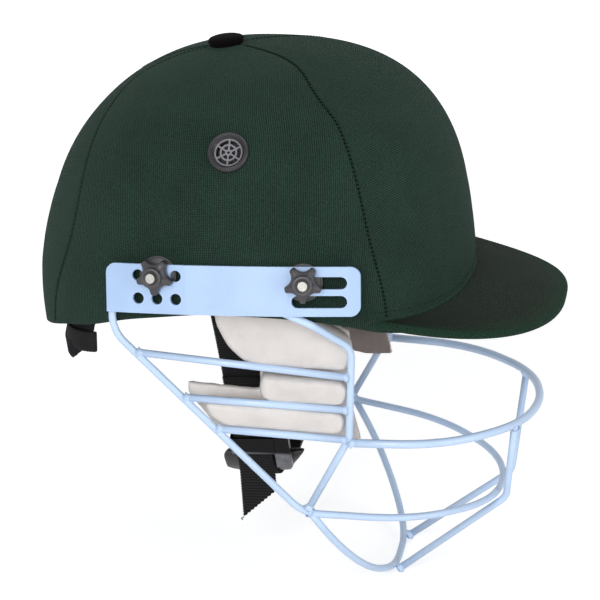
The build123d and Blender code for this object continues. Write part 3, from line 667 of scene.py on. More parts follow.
# Rows of the tucked edge: how far in and how far down from the rim
TUCK = ((0.5, 0.55), (1.4, 0.85), (3.2, 0.9), (4.7, 0.5), (5.1, -1.0), (5.2, -4.5))
HEM_RADIUS = 1.2
HEM_SIDES = 12
STITCH_PITCH = 2.3
# Share of a stitch's length and height over the seam
STITCH_ARCH = ((-0.5, -0.9), (-0.36, -0.3), (0, -0.1), (0.36, -0.3), (0.5, -0.9))
# Radius and height, as for every turned profile here
TURNED_SIDES = 64
BUTTON_PROFILE = ((0.0, -1.5), (8.6, -1.5), (9.3, -0.4), (9.5, 0.5), (9.85, 1.2), (10.0, 2.0), (9.8, 2.8),
                  (9.0, 3.5), (7.4, 4.05), (5.0, 4.4), (2.4, 4.55), (0.0, 4.6))


def across_shares(count):
    """Shares of a panel's width, closer together beside the seams."""
    inner = list(np.linspace(EDGE_SHARES[-1], 1 - EDGE_SHARES[-1], count))
    return np.array(list(EDGE_SHARES[:-1]) + inner + [1 - s for s in EDGE_SHARES[:-1][::-1]])


def down_shares(count):
    """Shares of the way from near the crown to the rim."""
    return np.linspace(0.02, 1.0, count)


def panel_points(start, end, columns, rows):
    """Grid on the egg between two seams, with the cloth drawn in along them."""
    down, across = down_shares(rows), across_shares(columns)
    turn = start[:, None] + (end - start)[:, None] * across[None, :]
    points = on_cover(turn, down[:, None])
    run = lengths_along(points, 1)
    gap = np.minimum(run, run[:, -1:] - run)
    pucker = 0.05 * np.sin(down[:, None] * 150) * np.exp(-((gap / 5.0) ** 2))
    sink = SEAM_SINK * np.exp(-((gap / 0.9) ** 2))
    swell = (0.28 * np.sin(points[..., 0] * 0.045 + 1) * np.sin(points[..., 2] * 0.05)
             * np.clip(gap / 20, 0, 1))
    return points + outward(points) * (pucker - sink - 0.25 + 0.25 * swell)[..., None]


def on_cover(turn, share):
    """Cover's outside at a turn and share of the way down."""
    points = cast(np.array(SEAM_JOINT), rays(turn, share * fall_to_rim(turn)))
    return points + outward(points) * flare(points)[..., None]


def flare(points):
    """How far the cloth stands off the egg low down at the nape and the brow."""
    total = 0
    for way, profile in ((-1, NAPE_FLARE), (1, BROW_FLARE)):
        share = np.clip((way * points[..., 0] - FLARE_START) / FLARE_REACH, 0, 1)
        heights, amounts = zip(*profile)
        total = total + share * share * (3 - 2 * share) * np.interp(points[..., 2], heights, amounts)
    return total


def outward(points):
    """Unit directions out of the egg."""
    steps = 0.4 * np.eye(3)
    slope = np.stack([egg(points * 0.999 + s, 0) - egg(points * 0.999 - s, 0) for s in steps], -1)
    return slope / np.maximum(np.linalg.norm(slope, axis=-1, keepdims=True), 1e-9)


def tucked(points):
    """Rows that turn the cloth in under the rim and a little way up inside the shell."""
    rim = points[-1]
    out = outward(rim)
    out[:, 2] = 0
    out /= np.linalg.norm(out, axis=1, keepdims=True)
    swell = flare(rim)[:, None]
    deeper = 1 + 0.35 * swell / TUCK[-1][0]
    rise = np.array([0, 0, 1.0]) * swell * np.where(rim[:, :1] < 0, 1.6, 0)
    rows = [rim - out * inward * deeper - np.array([0, 0, down]) for inward, down in TUCK]
    rows[-1] += rise
    return np.concatenate([points, np.stack(rows)], axis=0)


def cover_panel(name, node, start, end, columns, level_ribs, material):
    """One cloth panel, its ribs level or running down it, spaced evenly from its middle column."""
    points = tucked(panel_points(start, end, columns, PANEL_ROWS))
    count, width = points.shape[:2]
    drop, across = lengths_along(points, 0), lengths_along(points, 1)
    across -= across[:, width // 2][:, None]
    uvs = np.stack((drop, across) if level_ribs else (across, drop), -1).reshape(-1, 2) * MM
    faces = [f[::-1] for f in grid_faces(count, width)]
    flat = points.reshape(-1, 3)
    middle = flat[np.array(faces)].mean(1)
    vent = cast(np.array([VENT_PLACE[0], 0, VENT_PLACE[1]]), np.array([[0.0, -1.0, 0.0]]))[0]
    keep = np.ones(len(faces), bool)
    for side in (1, -1):
        keep &= np.linalg.norm(middle - vent * np.array([1, side, 1]), axis=1) > VENT_CLEAR
    piece = new_piece(name, flat, [f for f, k in zip(faces, keep) if k], material, uvs=uvs)
    put(piece.modifiers.new("cloth", "SOLIDIFY"), thickness=COVER_THICKNESS * MM, offset=-1.0)
    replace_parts(piece, node)


def make_cover(mats):
    """Front, rear and two side panels, with stitches across each seam."""
    shares = down_shares(PANEL_ROWS)
    front = seam_turns(FRONT_SEAM_Z, FRONT_SEAM_TURN, shares)
    rear = seam_turns(REAR_SEAM_Z, REAR_SEAM_TURN, shares)
    cloth = mats["cover_cloth"]
    cover_panel("front_panel", "cover_front_panel", -front, front, FRONT_COLUMNS, True, cloth)
    cover_panel("rear_panel", "cover_rear_panel", rear, 2 * np.pi - rear, REAR_COLUMNS, False, cloth)
    cover_panel("right_panel", "cover_right_panel", -rear, -front, SIDE_COLUMNS, False, cloth)
    cover_panel("left_panel", "cover_left_panel", front, rear, SIDE_COLUMNS, False, cloth)
    fine = np.linspace(shares[0], shares[-1], 700)
    # The front seam's threads carry the painted shade of the needle holes; the rear seam's threads are tonal.
    for name, turns, thread in (("front", front, "seam_thread_hole_shade"), ("rear", rear, "rear_thread")):
        for side in (1, -1):
            line = on_cover(np.interp(fine, shares, side * turns), fine)
            stitches(f"{name}_seam_{'left' if side > 0 else 'right'}", line, mats[thread])
    cover_hem(cloth, mats["rear_thread"])


def cover_hem(cloth, thread):
    """Rolled hem where the cover meets the peak, with a row of stitches over it."""
    turn = np.linspace(-1, 1, 160) * peak_reach()
    seat = peak_face(turn, peak_start(turn))
    line = seat + outward(seat) * flare(seat)[:, None]
    line[:, 2] = peak_top(line[:, 0], line[:, 1])
    rings, faces = tube(line + outward(line) * 0.3 + np.array([0, 0, 0.5]), HEM_RADIUS, HEM_SIDES)
    run = lengths_along(line)
    uvs = [(run[k // HEM_SIDES] * MM, (k % HEM_SIDES) * 0.7 * MM) for k in range(len(rings))]
    new_piece("cover_hem", rings, faces, cloth, uvs=uvs)
    foot = seat * np.array([0, 0, 1]) + np.array([0, 0, 4.0])
    away = seat * np.array([1, 1, 0]) / np.hypot(seat[:, 0], seat[:, 1])[:, None]
    row = cast(foot, away)
    row = row + outward(row) * flare(row)[:, None]
    stitches("hem_stitches", row, thread, start=0.0, length=0.7, width=1.5)


def stitches(name, line, material, start=10.0, length=1.5, width=0.95):
    """Short threads that bridge a seam, evenly down its length."""
    run = lengths_along(line)
    stops = np.arange(start, run[-1] - 1.0, STITCH_PITCH)
    centre = read_line(line, run, stops)
    out = outward(centre)
    along = read_line(line, run, stops + 0.5) - centre
    along /= np.linalg.norm(along, axis=1, keepdims=True)
    side = np.cross(out, along)
    points, faces = [], []
    for k in range(len(stops)):
        faces += [tuple(len(points) + i for i in f) for f in grid_faces(len(STITCH_ARCH), 3)]
        for share, height in STITCH_ARCH:
            for edge in (-0.5, 0, 0.5):
                lift = height + (0.18 if edge == 0 else 0)
                slant = share * length * 0.25
                points.append(centre[k] + side[k] * share * length + along[k] * (edge * width + slant)
                              + out[k] * lift)
    new_piece(name, points, faces, material)


def circle(centre, across, other, radius, sides):
    """Points round a centre, in the plane of two directions."""
    turns = [2 * math.pi * i / sides for i in range(sides)]
    return [tuple(centre + (across * math.cos(t) + other * math.sin(t)) * radius) for t in turns]


def lathe(name, profile, place, axis, material):
    """Turned piece: radius and height pairs about an axis, in millimetres."""
    axis = Vector(axis).normalized()
    across = axis.orthogonal().normalized()
    other = axis.cross(across)
    points = []
    for radius, height in profile:
        points += circle(Vector(place) + axis * height, across, other, radius, TURNED_SIDES)
    faces = [f[::-1] for f in grid_faces(len(profile), TURNED_SIDES, wrap=True)]
    return new_piece(name, points, faces, material)


def crown_button(mats):
    """Cloth button at the crown, tipped as the shell is under it."""
    low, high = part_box("crown_button")
    x = SEAM_JOINT[0] - 2.0
    ways = np.array([[x, 0, 114.0], [x + 8, 0, 114.0]])
    top, near = cast(np.array([0, 0, 10.0]), ways / np.linalg.norm(ways, axis=1, keepdims=True))
    slope = math.atan2(near[2] - top[2], near[0] - top[0])
    axis = (-math.sin(slope), 0, math.cos(slope))
    place = ((low.x + high.x) / 2 / MM, 0, top[2])
    piece = lathe("button", BUTTON_PROFILE, place, axis, mats["button_cloth"])
    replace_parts(piece, "crown_button")


# Peak


def peak_top(x, y):
    """Height of the peak's upper face."""
    slope = math.radians(PEAK_SLOPE)
    up = (math.sin(slope), math.cos(slope))
    cx, cz = PEAK_TIP[0] - up[0] * PEAK_ARCH, PEAK_TIP[1] - up[1] * PEAK_ARCH
    return cz + (np.sqrt(PEAK_ARCH**2 - y**2) - (x - cx) * up[0]) / up[1]


def peak_plan(turn, share):
    """Plan place by turn from straight ahead and share of the way out."""
    c, s = np.cos(turn), np.sin(turn)
    k = (np.abs(c) ** PEAK_ROUNDNESS + np.abs(s) ** PEAK_ROUNDNESS) ** (-1 / PEAK_ROUNDNESS)
    length = PEAK_TIP[0] - PEAK_CENTRE_X
    return PEAK_CENTRE_X + length * k * c * share, PEAK_HALF_WIDTH * k * s * share


def peak_face(turn, share):
    """Points of the peak's upper face."""
    x, y = peak_plan(turn, share)
    return np.stack([x, y, peak_top(x, y)], -1)


def peak_in_egg(turn, share):
    """Below 0 where the middle of the peak's thickness is inside the shell."""
    return egg(peak_face(turn, share) - np.array([0, 0, PEAK_DEPTH / 2]), PEAK_INSET)


def peak_reach():
    """Turn from straight ahead at which the peak's edge runs into the shell."""
    turn = np.radians(np.linspace(60, 89, 600))
    return turn[peak_in_egg(turn, 1.0) > 0].max()


def peak_start(turn):
    """Share of the way out at which the peak leaves the shell."""
    return halved(np.zeros(turn.shape), np.ones(turn.shape), 34, lambda share: peak_in_egg(turn, share) < 0)


def make_peak(mats):
    """Padded peak skin: an arched slab with a round edge, cut to the shell."""
    turn = np.linspace(-1, 1, PEAK_COLUMNS) * peak_reach()
    half = PEAK_DEPTH / 2
    slope = math.radians(PEAK_SLOPE)
    lift = np.array([math.sin(slope), 0, math.cos(slope)])
    edge = 1 - half / 100
    start = np.minimum(peak_start(turn), edge - 0.003)
    rows = []
    for t in np.linspace(0, 1, PEAK_TOP_ROWS):
        rows.append(peak_face(turn, start + (edge - start) * t) + lift * (0.35 * np.sin(np.pi * t) - 0.35))
    rim = peak_face(turn, edge) - lift * half
    out = np.cross(np.gradient(rim, axis=0), lift)
    out /= np.linalg.norm(out, axis=1, keepdims=True)
    for angle in np.radians(np.linspace(75, -75, PEAK_EDGE_ROWS)):
        nip = 0.25 * math.exp(-((angle / 0.16) ** 2))
        rows.append(rim + out * ((half - nip) * math.cos(angle)) + lift * (half * math.sin(angle)))
    for t in np.linspace(1, 0, PEAK_UNDER_ROWS):
        rows.append(peak_face(turn, start + (edge - start) * t) - lift * (PEAK_DEPTH - 0.2))
    points = np.stack(rows)
    drop, across = lengths_along(points, 0), lengths_along(points, 1)
    across -= across[:, len(turn) // 2][:, None]
    uvs = np.stack([across, drop], -1).reshape(-1, 2) * MM
    faces = grid_faces(len(rows), len(turn))
    piece = new_piece("peak_skin", points.reshape(-1, 3), faces, mats["peak_cloth"], uvs=uvs)
    rolled = np.zeros(points.shape[:2])
    rolled[PEAK_TOP_ROWS - PEAK_BLEND_ROWS:PEAK_TOP_ROWS] = np.linspace(0, 0.75, PEAK_BLEND_ROWS)[:, None]
    rolled[PEAK_TOP_ROWS:] = 1.0
    edge_values = piece.data.attributes.new("edge", "FLOAT", "POINT").data
    edge_values.foreach_set("value", rolled.astype(np.float32).ravel())
    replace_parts(piece, "peak_cover", "peak_core")


# Face guard


def plate_axes():
    """Directions along the right plate, up it and out of it."""
    lean, pitch = math.radians(PLATE_LEAN), math.radians(PLATE_PITCH)
    along = Vector((math.cos(pitch), 0, math.sin(pitch)))
    out = Vector((0, -math.cos(lean), math.sin(lean)))
    out = (out - along * out.dot(along)).normalized()
    return along, out.cross(along), out


def plate_point(flat, x, up, out):
    """Point over the plate's flat that is square to a turn about its bend axis."""
    along, rise, away = plate_axes()
    turn = flat / PLATE_RADIUS
    reach = PLATE_RADIUS + out
    side = reach * math.sin(turn) + (x - flat) * math.cos(turn)
    depth = reach * math.cos(turn) - PLATE_RADIUS - (x - flat) * math.sin(turn)
    return Vector(PLATE_CENTRE) + along * side + rise * up + away * depth


def rounded_path(points, radii, step=3.0):
    """Points along straight runs joined by tangent arcs."""
    corners = [Vector(p) for p in points]
    out = [corners[0]]
    for k, radius in enumerate(radii, start=1):
        into = (corners[k] - corners[k - 1]).normalized()
        away = (corners[k + 1] - corners[k]).normalized()
        turn = into.angle(away)
        cut = radius * math.tan(turn / 2)
        start = corners[k] - into * cut
        normal = into.cross(away).normalized()
        centre = start + normal.cross(into) * radius
        arm = start - centre
        count = max(3, round(math.degrees(turn) / step))
        out += [centre + Matrix.Rotation(turn * i / count, 3, normal) @ arm for i in range(count + 1)]
    return out + [corners[-1]]


def tube(points, radius, sides=20):
    """Rings of a round tube along points, turned as little as possible."""
    spots = [Vector(p) for p in points]
    along = [(b - a).normalized() for a, b in zip(spots, spots[1:])]
    along = [along[0]] + [(a + b).normalized() for a, b in zip(along, along[1:])] + [along[-1]]
    across = along[0].orthogonal().normalized()
    rings = []
    for spot, heading in zip(spots, along):
        across = (across - heading * across.dot(heading)).normalized()
        rings += circle(spot, across, heading.cross(across), radius, sides)
    faces = grid_faces(len(spots), sides, wrap=True)
    last = (len(spots) - 1) * sides
    return rings, faces + [tuple(range(sides))[::-1], tuple(range(last, last + sides))]


def mirrored(points):
    """Right-hand points joined to their left twins, with those on the middle plane kept single."""
    back = [(x, -y, z) for x, y, z in reversed(points) if abs(y) > 1e-6]
    return points + back


def wire_piece(name, points, radii, diameter, material):
    """Bent wire in place of the CAD node of the same name."""
    rings, faces = tube(rounded_path(points, radii), diameter / 2)
    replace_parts(new_piece(name, rings, faces, material), name.replace("_bent", ""))


def weld_bead(start, toward, carried, carrier, spread=1.2):
    """Small cone of weld where a wire's end meets the wire that carries it."""
    axis = (Vector(toward) - Vector(start)).normalized()
    across = axis.orthogonal().normalized()
    other = axis.cross(across)
    points = []
    profile = [(carrier * 0.72, carried + spread), (carrier * 0.98, carried + spread * 0.62),
               (carrier + spread * 0.55, carried + spread * 0.2), (carrier + spread * 1.4, carried - 0.02)]
    for height, radius in profile:
        for i in range(WELD_SIDES):
            turn = 2 * math.pi * i / WELD_SIDES
            ripple = 1 + 0.03 * math.sin(5 * turn + start[0])
            points.append(tuple(Vector(start) + axis * height
                                + (across * math.cos(turn) + other * math.sin(turn)) * radius * ripple))
    return points, [f[::-1] for f in grid_faces(len(profile), WELD_SIDES, wrap=True)]


LEG_END = (-63.5, -100.5, -12.0)
JAW_CORNER = (38.0, -85.0, -119.4)
LOWER_LOOP = [(97.8, -73.1, -124.5), (134.8, -36.3, -128.2), (142.7, 0.0, -129.7)]
UPPER_LOOP = [(62.0, -82.0, -77.0), (114.8, -76.8, -77.0), (154.8, -38.5, -77.0), (161.5, 0.0, -77.0)]
CHIN_LOOP = [(41.0, -84.6, -118.0), (57.1, -76.8, -142.6), (72.1, -55.0, -165.8), (82.2, -22.7, -179.1)]
LOWER_BENDS = (22, 25, 86, 67, 73, 67, 86, 25, 22)
UPPER_BENDS = (78, 68, 80, 68, 78)
CHIN_BENDS = (82, 78, 71, 71, 78, 82)
BAR_BENDS = (12, 9, 13, 12)
STRUT_BENDS = (9,)
# Places on the plate where wires are welded: the flat they are on, along it and up it
LEG_WELD = (-72.0, -65.9, 9.0)
BAR_WELD = ((14.0, 12.0, -10.2), (14.0, 26.0, -11.2))
BAR_KNEE = (45.0, -102.6, -1.8)
FRONT_CORNER = (64.0, -82.6, -21.5)
FRONT_ELBOW = (62.9, -81.7, -74.5)
FRONT_FOOT = (40.4, -84.6, -118.0)
BAR_HEIGHTS = {"upper": (-24.8, -38.7), "middle": (-50.9, -57.8), "lower": (-69.3, -75.5)}
STRUT = [(149.8, -41.4, -77.0), (144.6, -18.5, -131.5), (83.6, -22.6, -180.4)]


def point_at_height(start, end, z):
    """Point of a straight run at a height."""
    share = (z - start[2]) / (end[2] - start[2])
    return tuple(a + (b - a) * share for a, b in zip(start, end))


def make_guard(mats):
    """Round bent wires in place of the twelve-sided bars, with weld beads at their ends."""
    coat = mats["guard_steel"]
    leg_top = tuple(plate_point(*LEG_WELD, -WELD_DEPTH))
    lower = mirrored([leg_top, LEG_END, JAW_CORNER] + LOWER_LOOP)
    wire_piece("lower_face_wire_bent", lower, LOWER_BENDS, WIRE, coat)
    wire_piece("upper_face_wire_bent", mirrored(UPPER_LOOP), UPPER_BENDS, LOOP_WIRE, coat)
    wire_piece("chin_wire_bent", mirrored(CHIN_LOOP), CHIN_BENDS, WIRE, coat)
    weld = [tuple(plate_point(*seat, -WELD_DEPTH)) for seat in BAR_WELD]
    front = weld + [BAR_KNEE, FRONT_CORNER, FRONT_ELBOW, FRONT_FOOT]
    wires = {"front_bar": (front, BAR_BENDS), "centre_strut": (STRUT, STRUT_BENDS)}
    for name, (rear_z, front_z) in BAR_HEIGHTS.items():
        ends = [point_at_height(LEG_END, JAW_CORNER, rear_z),
                point_at_height(FRONT_CORNER, FRONT_ELBOW, front_z)]
        wires[f"cheek_bar_{name}"] = (ends, [])
    for name, (points, radii) in wires.items():
        wire_piece(f"right_{name}_bent", points, radii, WIRE, coat)
        wire_piece(f"left_{name}_bent", flip(points), radii, WIRE, coat)
    r, big = WIRE / 2, LOOP_WIRE / 2
    seats = [(FRONT_FOOT, FRONT_ELBOW, r, r), (*UPPER_LOOP[:2], big, r), (*CHIN_LOOP[:2], r, r),
             (*STRUT[:2], r, big), (STRUT[2], STRUT[1], r, r)]
    for name in BAR_HEIGHTS:
        a, b = wires[f"cheek_bar_{name}"][0]
        seats += [(a, b, r, r), (b, a, r, r)]
    points, faces = [], []
    for start, toward, carried, carrier in seats:
        for mirror in (1, -1):
            s, t = (start[0], start[1] * mirror, start[2]), (toward[0], toward[1] * mirror, toward[2])
            more, quads = weld_bead(s, t, carried, carrier)
            faces += [tuple(len(points) + i for i in f) for f in quads]
            points += more
    new_piece("weld_beads", points, faces, coat)
    for side in ("right", "left"):
        # The plates take the darker copy of the coat, which is painted shade.
        dress(f"{side}_side_plate", mats["plate_steel_painted_shade"])
        bevel(f"{side}_side_plate", 0.45)


# Knobs, studs and spacers


KNOB_TIP = 10.0
KNOB_SCALLOP = 5.5
KNOB_SCALLOP_CENTRE = 12.1
KNOB_OPENING = 54.8
# Scale of the star and height of its rings, then radius and height of the hub's
KNOB_SIDE = ((0.86, 0.55), (0.97, 0.7), (1.0, 1.2), (1.0, 3.4), (0.995, 5.0), (0.97, 5.6), (0.92, 5.95),
             (0.8, 6.5), (0.68, 7.0))
KNOB_HUB = ((5.6, 7.35), (5.45, 7.6), (5.42, 9.3), (5.3, 9.75), (5.0, 9.98), (4.1, 10.0), (3.8, 9.85),
            (3.72, 9.7), (3.6, 9.6), (2.8, 9.55), (2.6, 9.4))
SPACER_PROFILE = ((2.6, -2.05), (8.6, -2.05), (8.9, -2.3), (9.2, -2.3), (9.5, -2.0), (10.0, -2.1),
                  (10.2, -2.5), (10.2, -4.6), (9.9, -5.2), (2.6, -5.3))


def star_outline():
    """Points round a five-lobed knob."""
    spots = []
    opening = math.radians(KNOB_OPENING)
    for i in range(5):
        turn = math.radians(90 + 72 * i)
        for share in np.linspace(-1, 1, 11)[1:-1]:
            side = turn + math.pi - share * opening
            x = KNOB_SCALLOP_CENTRE * math.cos(turn) + KNOB_SCALLOP * math.cos(side)
            y = KNOB_SCALLOP_CENTRE * math.sin(turn) + KNOB_SCALLOP * math.sin(side)
            spots.append((x, y))
        for share in (-0.92, -0.55, 0, 0.55, 0.92):
            tip = turn + math.radians(36 + 9.3 * share)
            reach = KNOB_TIP * (1 - 0.035 * share**4)
            spots.append((reach * math.cos(tip), reach * math.sin(tip)))
    return spots


def knob_mesh(place, across, up, out):
    """Rings of a knob: under-bevel, side, rounded shoulder, sloping lobes, hub and recess."""
    star = star_outline()
    turns = [math.atan2(y, x) for x, y in star]
    rings = [[(x * scale, y * scale, height) for x, y in star] for scale, height in KNOB_SIDE]
    for radius, height in KNOB_HUB:
        rings.append([(radius * math.cos(t), radius * math.sin(t), height) for t in turns])
    points = [tuple(Vector(place) + across * x + up * y + out * z) for ring in rings for x, y, z in ring]
    return points, grid_faces(len(rings), len(star), wrap=True) + [tuple(range(len(star)))[::-1]]


def make_fixings(mats):
    """Knobs and spacers on both sides, and the finish of nuts, studs, washers and rivets."""
    for name, (flat, x, up) in STUDS.items():
        foot = plate_point(flat, x, up, 0)
        out = (plate_point(flat, x, up, 10) - foot).normalized()
        across = (plate_point(flat, x + 1, up, 0) - foot).normalized()
        points, faces = knob_mesh(foot, across, out.cross(across), out)
        for side, mirror in SIDES:
            body = f"{side}_{name}_knob"
            spots = [(p[0], p[1] * mirror, p[2]) for p in points]
            turned = faces if mirror > 0 else [f[::-1] for f in faces]
            knob = new_piece(f"{body}_star", spots, turned, mats["knob_plastic"], body)
            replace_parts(knob, body)
            place, axis = (foot.x, foot.y * mirror, foot.z), (out.x, out.y * mirror, out.z)
            piece = lathe(f"{side}_{name}_spacer", SPACER_PROFILE, place, axis, mats["rubber_black"])
            if side == "right" and name == "rear":
                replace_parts(piece, "plate_spacers")
            dress(f"{body}_nut", mats["stud_steel"])
            bevel(f"{body}_nut", 0.2)
    for node in ("fixing_studs", "stud_washers", "strap_rivets", "nape_rivets"):
        dress(node, mats["stud_steel"])
        bevel(node, 0.3)


# Vents


VENT_RINGS = (0.85, 1.75, 3.75, 4.65, 6.75, 7.7)
VENT_OPEN = (1, 3)
SPOKE_HALF = 0.42
VENT_SPOKES = 6
VENT_COLUMNS = 7
BEZEL_PROFILE = ((7.5, -9.0), (7.5, 0.35), (7.75, 0.75), (8.1, 0.9), (8.25, 1.3), (8.5, 1.45), (8.7, 1.9),
                 (8.95, 2.2), (9.2, 2.3), (9.35, 2.0), (9.5, 2.05), (9.7, 2.35), (10.0, 2.25), (10.2, 1.85),
                 (10.4, 1.8), (10.8, 1.3), (11.0, 0.7), (11.0, -0.9), (8.6, -1.1), (8.6, -9.0))


def vent_frame():
    """Place, directions across and up, and way out of the right vent."""
    x, z = VENT_PLACE
    point = cast(np.array([x, 0, z]), np.array([[0.0, -1.0, 0.0]]))[0]
    out = Vector(outward(point[None])[0])
    across = (Vector((1, 0, 0)) - out * out.x).normalized()
    return Vector(point), across, out.cross(across), out


def vent_wheel():
    """Points and faces of the wheel in its own plane: rings joined by spokes, open between them."""
    spots, faces = [], []
    total = VENT_COLUMNS * VENT_SPOKES
    for ring in VENT_RINGS:
        for s in range(VENT_SPOKES):
            half = math.pi / VENT_SPOKES - math.asin(min(0.9, SPOKE_HALF / ring))
            for share in np.linspace(-1, 1, VENT_COLUMNS):
                turn = 2 * math.pi * s / VENT_SPOKES + half * share
                spots.append((ring * math.cos(turn), ring * math.sin(turn)))
    for band in range(len(VENT_RINGS) - 1):
        for c in range(total):
            if band in VENT_OPEN and (c + 1) % VENT_COLUMNS:
                continue
            d = (c + 1) % total
            faces.append((band * total + c, (band + 1) * total + c, (band + 1) * total + d, band * total + d))
    return spots, faces


def make_vents(mats):
    """A spoked wheel in a ridged bezel on each side."""
    place, across, up, out = vent_frame()
    wheel, faces = vent_wheel()
    for side, mirror in SIDES:
        spots = [place + across * x + up * y + out * 0.1 for x, y in wheel]
        spots = [(p.x, p.y * mirror, p.z) for p in spots]
        piece = new_piece(f"{side}_vent_wheel", spots, faces if mirror > 0 else [f[::-1] for f in faces],
                          mats["vent_wheel"], smooth=False)
        put(piece.modifiers.new("depth", "SOLIDIFY"), thickness=1.5 * MM, offset=-1.0)
        put(piece.modifiers.new("eased", "BEVEL"), width=0.12 * MM, segments=2)
        centre, axis = (place.x, place.y * mirror, place.z), (out.x, out.y * mirror, out.z)
        lathe(f"{side}_vent_bezel", BEZEL_PROFILE[::-1], centre, axis, mats["vent_plastic"])
    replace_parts(piece, "side_vents")
    dress("vent_retainers", mats["vent_plastic"])


# Padded pieces


PUFF_FRAMES = 20
CREASE_DEPTH = 0.32


def evaluated(piece):
    """Piece as its modifiers leave it."""
    return piece.evaluated_get(bpy.context.evaluated_depsgraph_get())


def remeshed(name, source, voxel, smooth):
    """Closed copy of a piece's mesh, made of even small facets."""
    piece = add_object(name, bpy.data.meshes.new_from_object(evaluated(source)))
    put(piece.modifiers.new("even", "REMESH"), mode="VOXEL", voxel_size=voxel * MM, use_smooth_shade=True)
    put(piece.modifiers.new("soft", "SMOOTH"), factor=0.5, iterations=smooth)
    mesh = bpy.data.meshes.new_from_object(evaluated(piece))
    piece.modifiers.clear()
    piece.data = mesh
    return piece


def inflate(piece, pressure, cap):
    """Cloth under air pressure, each point held to a cap of travel."""
    rest = np.array([v.co for v in piece.data.vertices])
    cloth = piece.modifiers.new("puff", "CLOTH")
    put(cloth.settings, use_pressure=True, uniform_pressure_force=pressure, quality=4, mass=0.3)
    cloth.settings.effector_weights.gravity = 0
    cloth.collision_settings.use_collision = False
    put(cloth.point_cache, frame_start=1, frame_end=PUFF_FRAMES)
    scene = bpy.context.scene
    for step in range(1, PUFF_FRAMES + 1):
        scene.frame_set(step)
    there = np.array([v.co for v in evaluated(piece).data.vertices])
    scene.frame_set(1)
    piece.modifiers.clear()
    travel = there - rest
    travel *= np.minimum(1, cap * MM / np.maximum(np.linalg.norm(travel, axis=1, keepdims=True), 1e-9))
    move_points(piece, rest + travel)


def move_points(piece, places):
    """New places, in metres, for a mesh's points."""
    piece.data.vertices.foreach_set("co", places.astype(np.float32).ravel())
    piece.data.update()


def finish_soft(piece, material, body, nodes):
    """Finish, body, smooth shading and one level of subdivision of a closed soft mesh, and the nodes that it
    stands for.
    """
    piece.data.materials.clear()
    piece.data.polygons.foreach_set("use_smooth", [True] * len(piece.data.polygons))
    settle(piece, material, body)
    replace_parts(piece, *nodes)
    put(piece.modifiers.new("finer", "SUBSURF"), levels=1, render_levels=1)
    return piece


def soft_copy(name, node, material, body="helmet", voxel=3.0, smooth=4, pressure=2.0, cap=1.0):
    """Padded piece in the place of a CAD node, with rounded edges and a slight swell."""
    piece = remeshed(name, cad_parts[node], voxel, smooth)
    if pressure:
        inflate(piece, pressure, cap)
    return finish_soft(piece, material, body, [node])


def make_liner(mats):
    """Soft pads of the liner, the nape band and the chin cup."""
    dark = mats["liner_foam"]
    for name in ("crown_pad", "brow_pad", "rear_pad", "right_ear_pad", "left_ear_pad"):
        soft_copy(f"{name}_soft", name, dark)
    soft_copy("nape_band", "nape_cradle", dark, "nape_cradle", voxel=1.2, smooth=3, pressure=0)
    soft_copy("chin_cup_soft", "chin_cup", mats["cup_leather"], "chin_harness", voxel=1.6,
              smooth=6, pressure=1.0, cap=0.5)


CHEEK_ORIGIN = (20.0, -88.2, -50.0)
CHEEK_OUT = (0.14, -1.0, -0.02)


def cheek_axes():
    """Directions along the right cheek pad, up it and out of it."""
    out = Vector(CHEEK_OUT).normalized()
    across = Vector((1, 0.14, 0))
    across = (across - out * across.dot(out)).normalized()
    return across, out.cross(across), out


LOBES = {
    "upper": ([(-30, 52), (12, 52), (42.5, 32), (44.5, 27.5), (43, 17), (40, 14.5), (-6, 17), (-13.5, 19.5),
               (-22, 28), (-28, 40)], -0.5),
    "middle": ([(-3.5, 11), (39, 7.5), (42, 4.5), (41.5, -2), (38.5, -5.5), (1, -3.5), (-3.5, -1.5),
                (-5, 4)], 0.8),
    "lower": ([(-35, -4.5), (6, -7), (38.5, -10.5), (41, -14.5), (39.5, -21.5), (35.5, -22.5), (-24, -18),
               (-32, -12.5)], 0.8),
}
LOBE_BASE = -13.0
# How far in from the outline, and share of the way from the base to the top
LOBE_PROFILE = ((0.6, 0.0), (-0.2, 0.16), (-0.6, 0.42), (-0.6, 0.7), (-0.2, 0.86), (0.6, 0.95), (1.8, 1.0))


def rounded_outline(outline, count=120, passes=3):
    """Closed outline, evenly stepped, with its corners eased."""
    ring = np.array(outline, float)
    ring = np.vstack([ring, ring[:1]])
    run = lengths_along(ring)
    ring = read_line(ring, run, np.linspace(0, run[-1], count, endpoint=False))
    for _ in range(passes):
        ring = (np.roll(ring, 1, 0) + 2 * ring + np.roll(ring, -1, 0)) / 4
    return ring


def inset(ring, distance):
    """Outline moved in square to itself."""
    ahead, behind = np.roll(ring, -1, 0), np.roll(ring, 1, 0)
    tangent = ahead - behind
    tangent /= np.maximum(np.linalg.norm(tangent, axis=1, keepdims=True), 1e-9)
    normal = np.stack([-tangent[:, 1], tangent[:, 0]], -1)
    area = float((ring[:, 0] * ahead[:, 1] - ahead[:, 0] * ring[:, 1]).sum())
    return ring + normal * distance * (1 if area > 0 else -1)


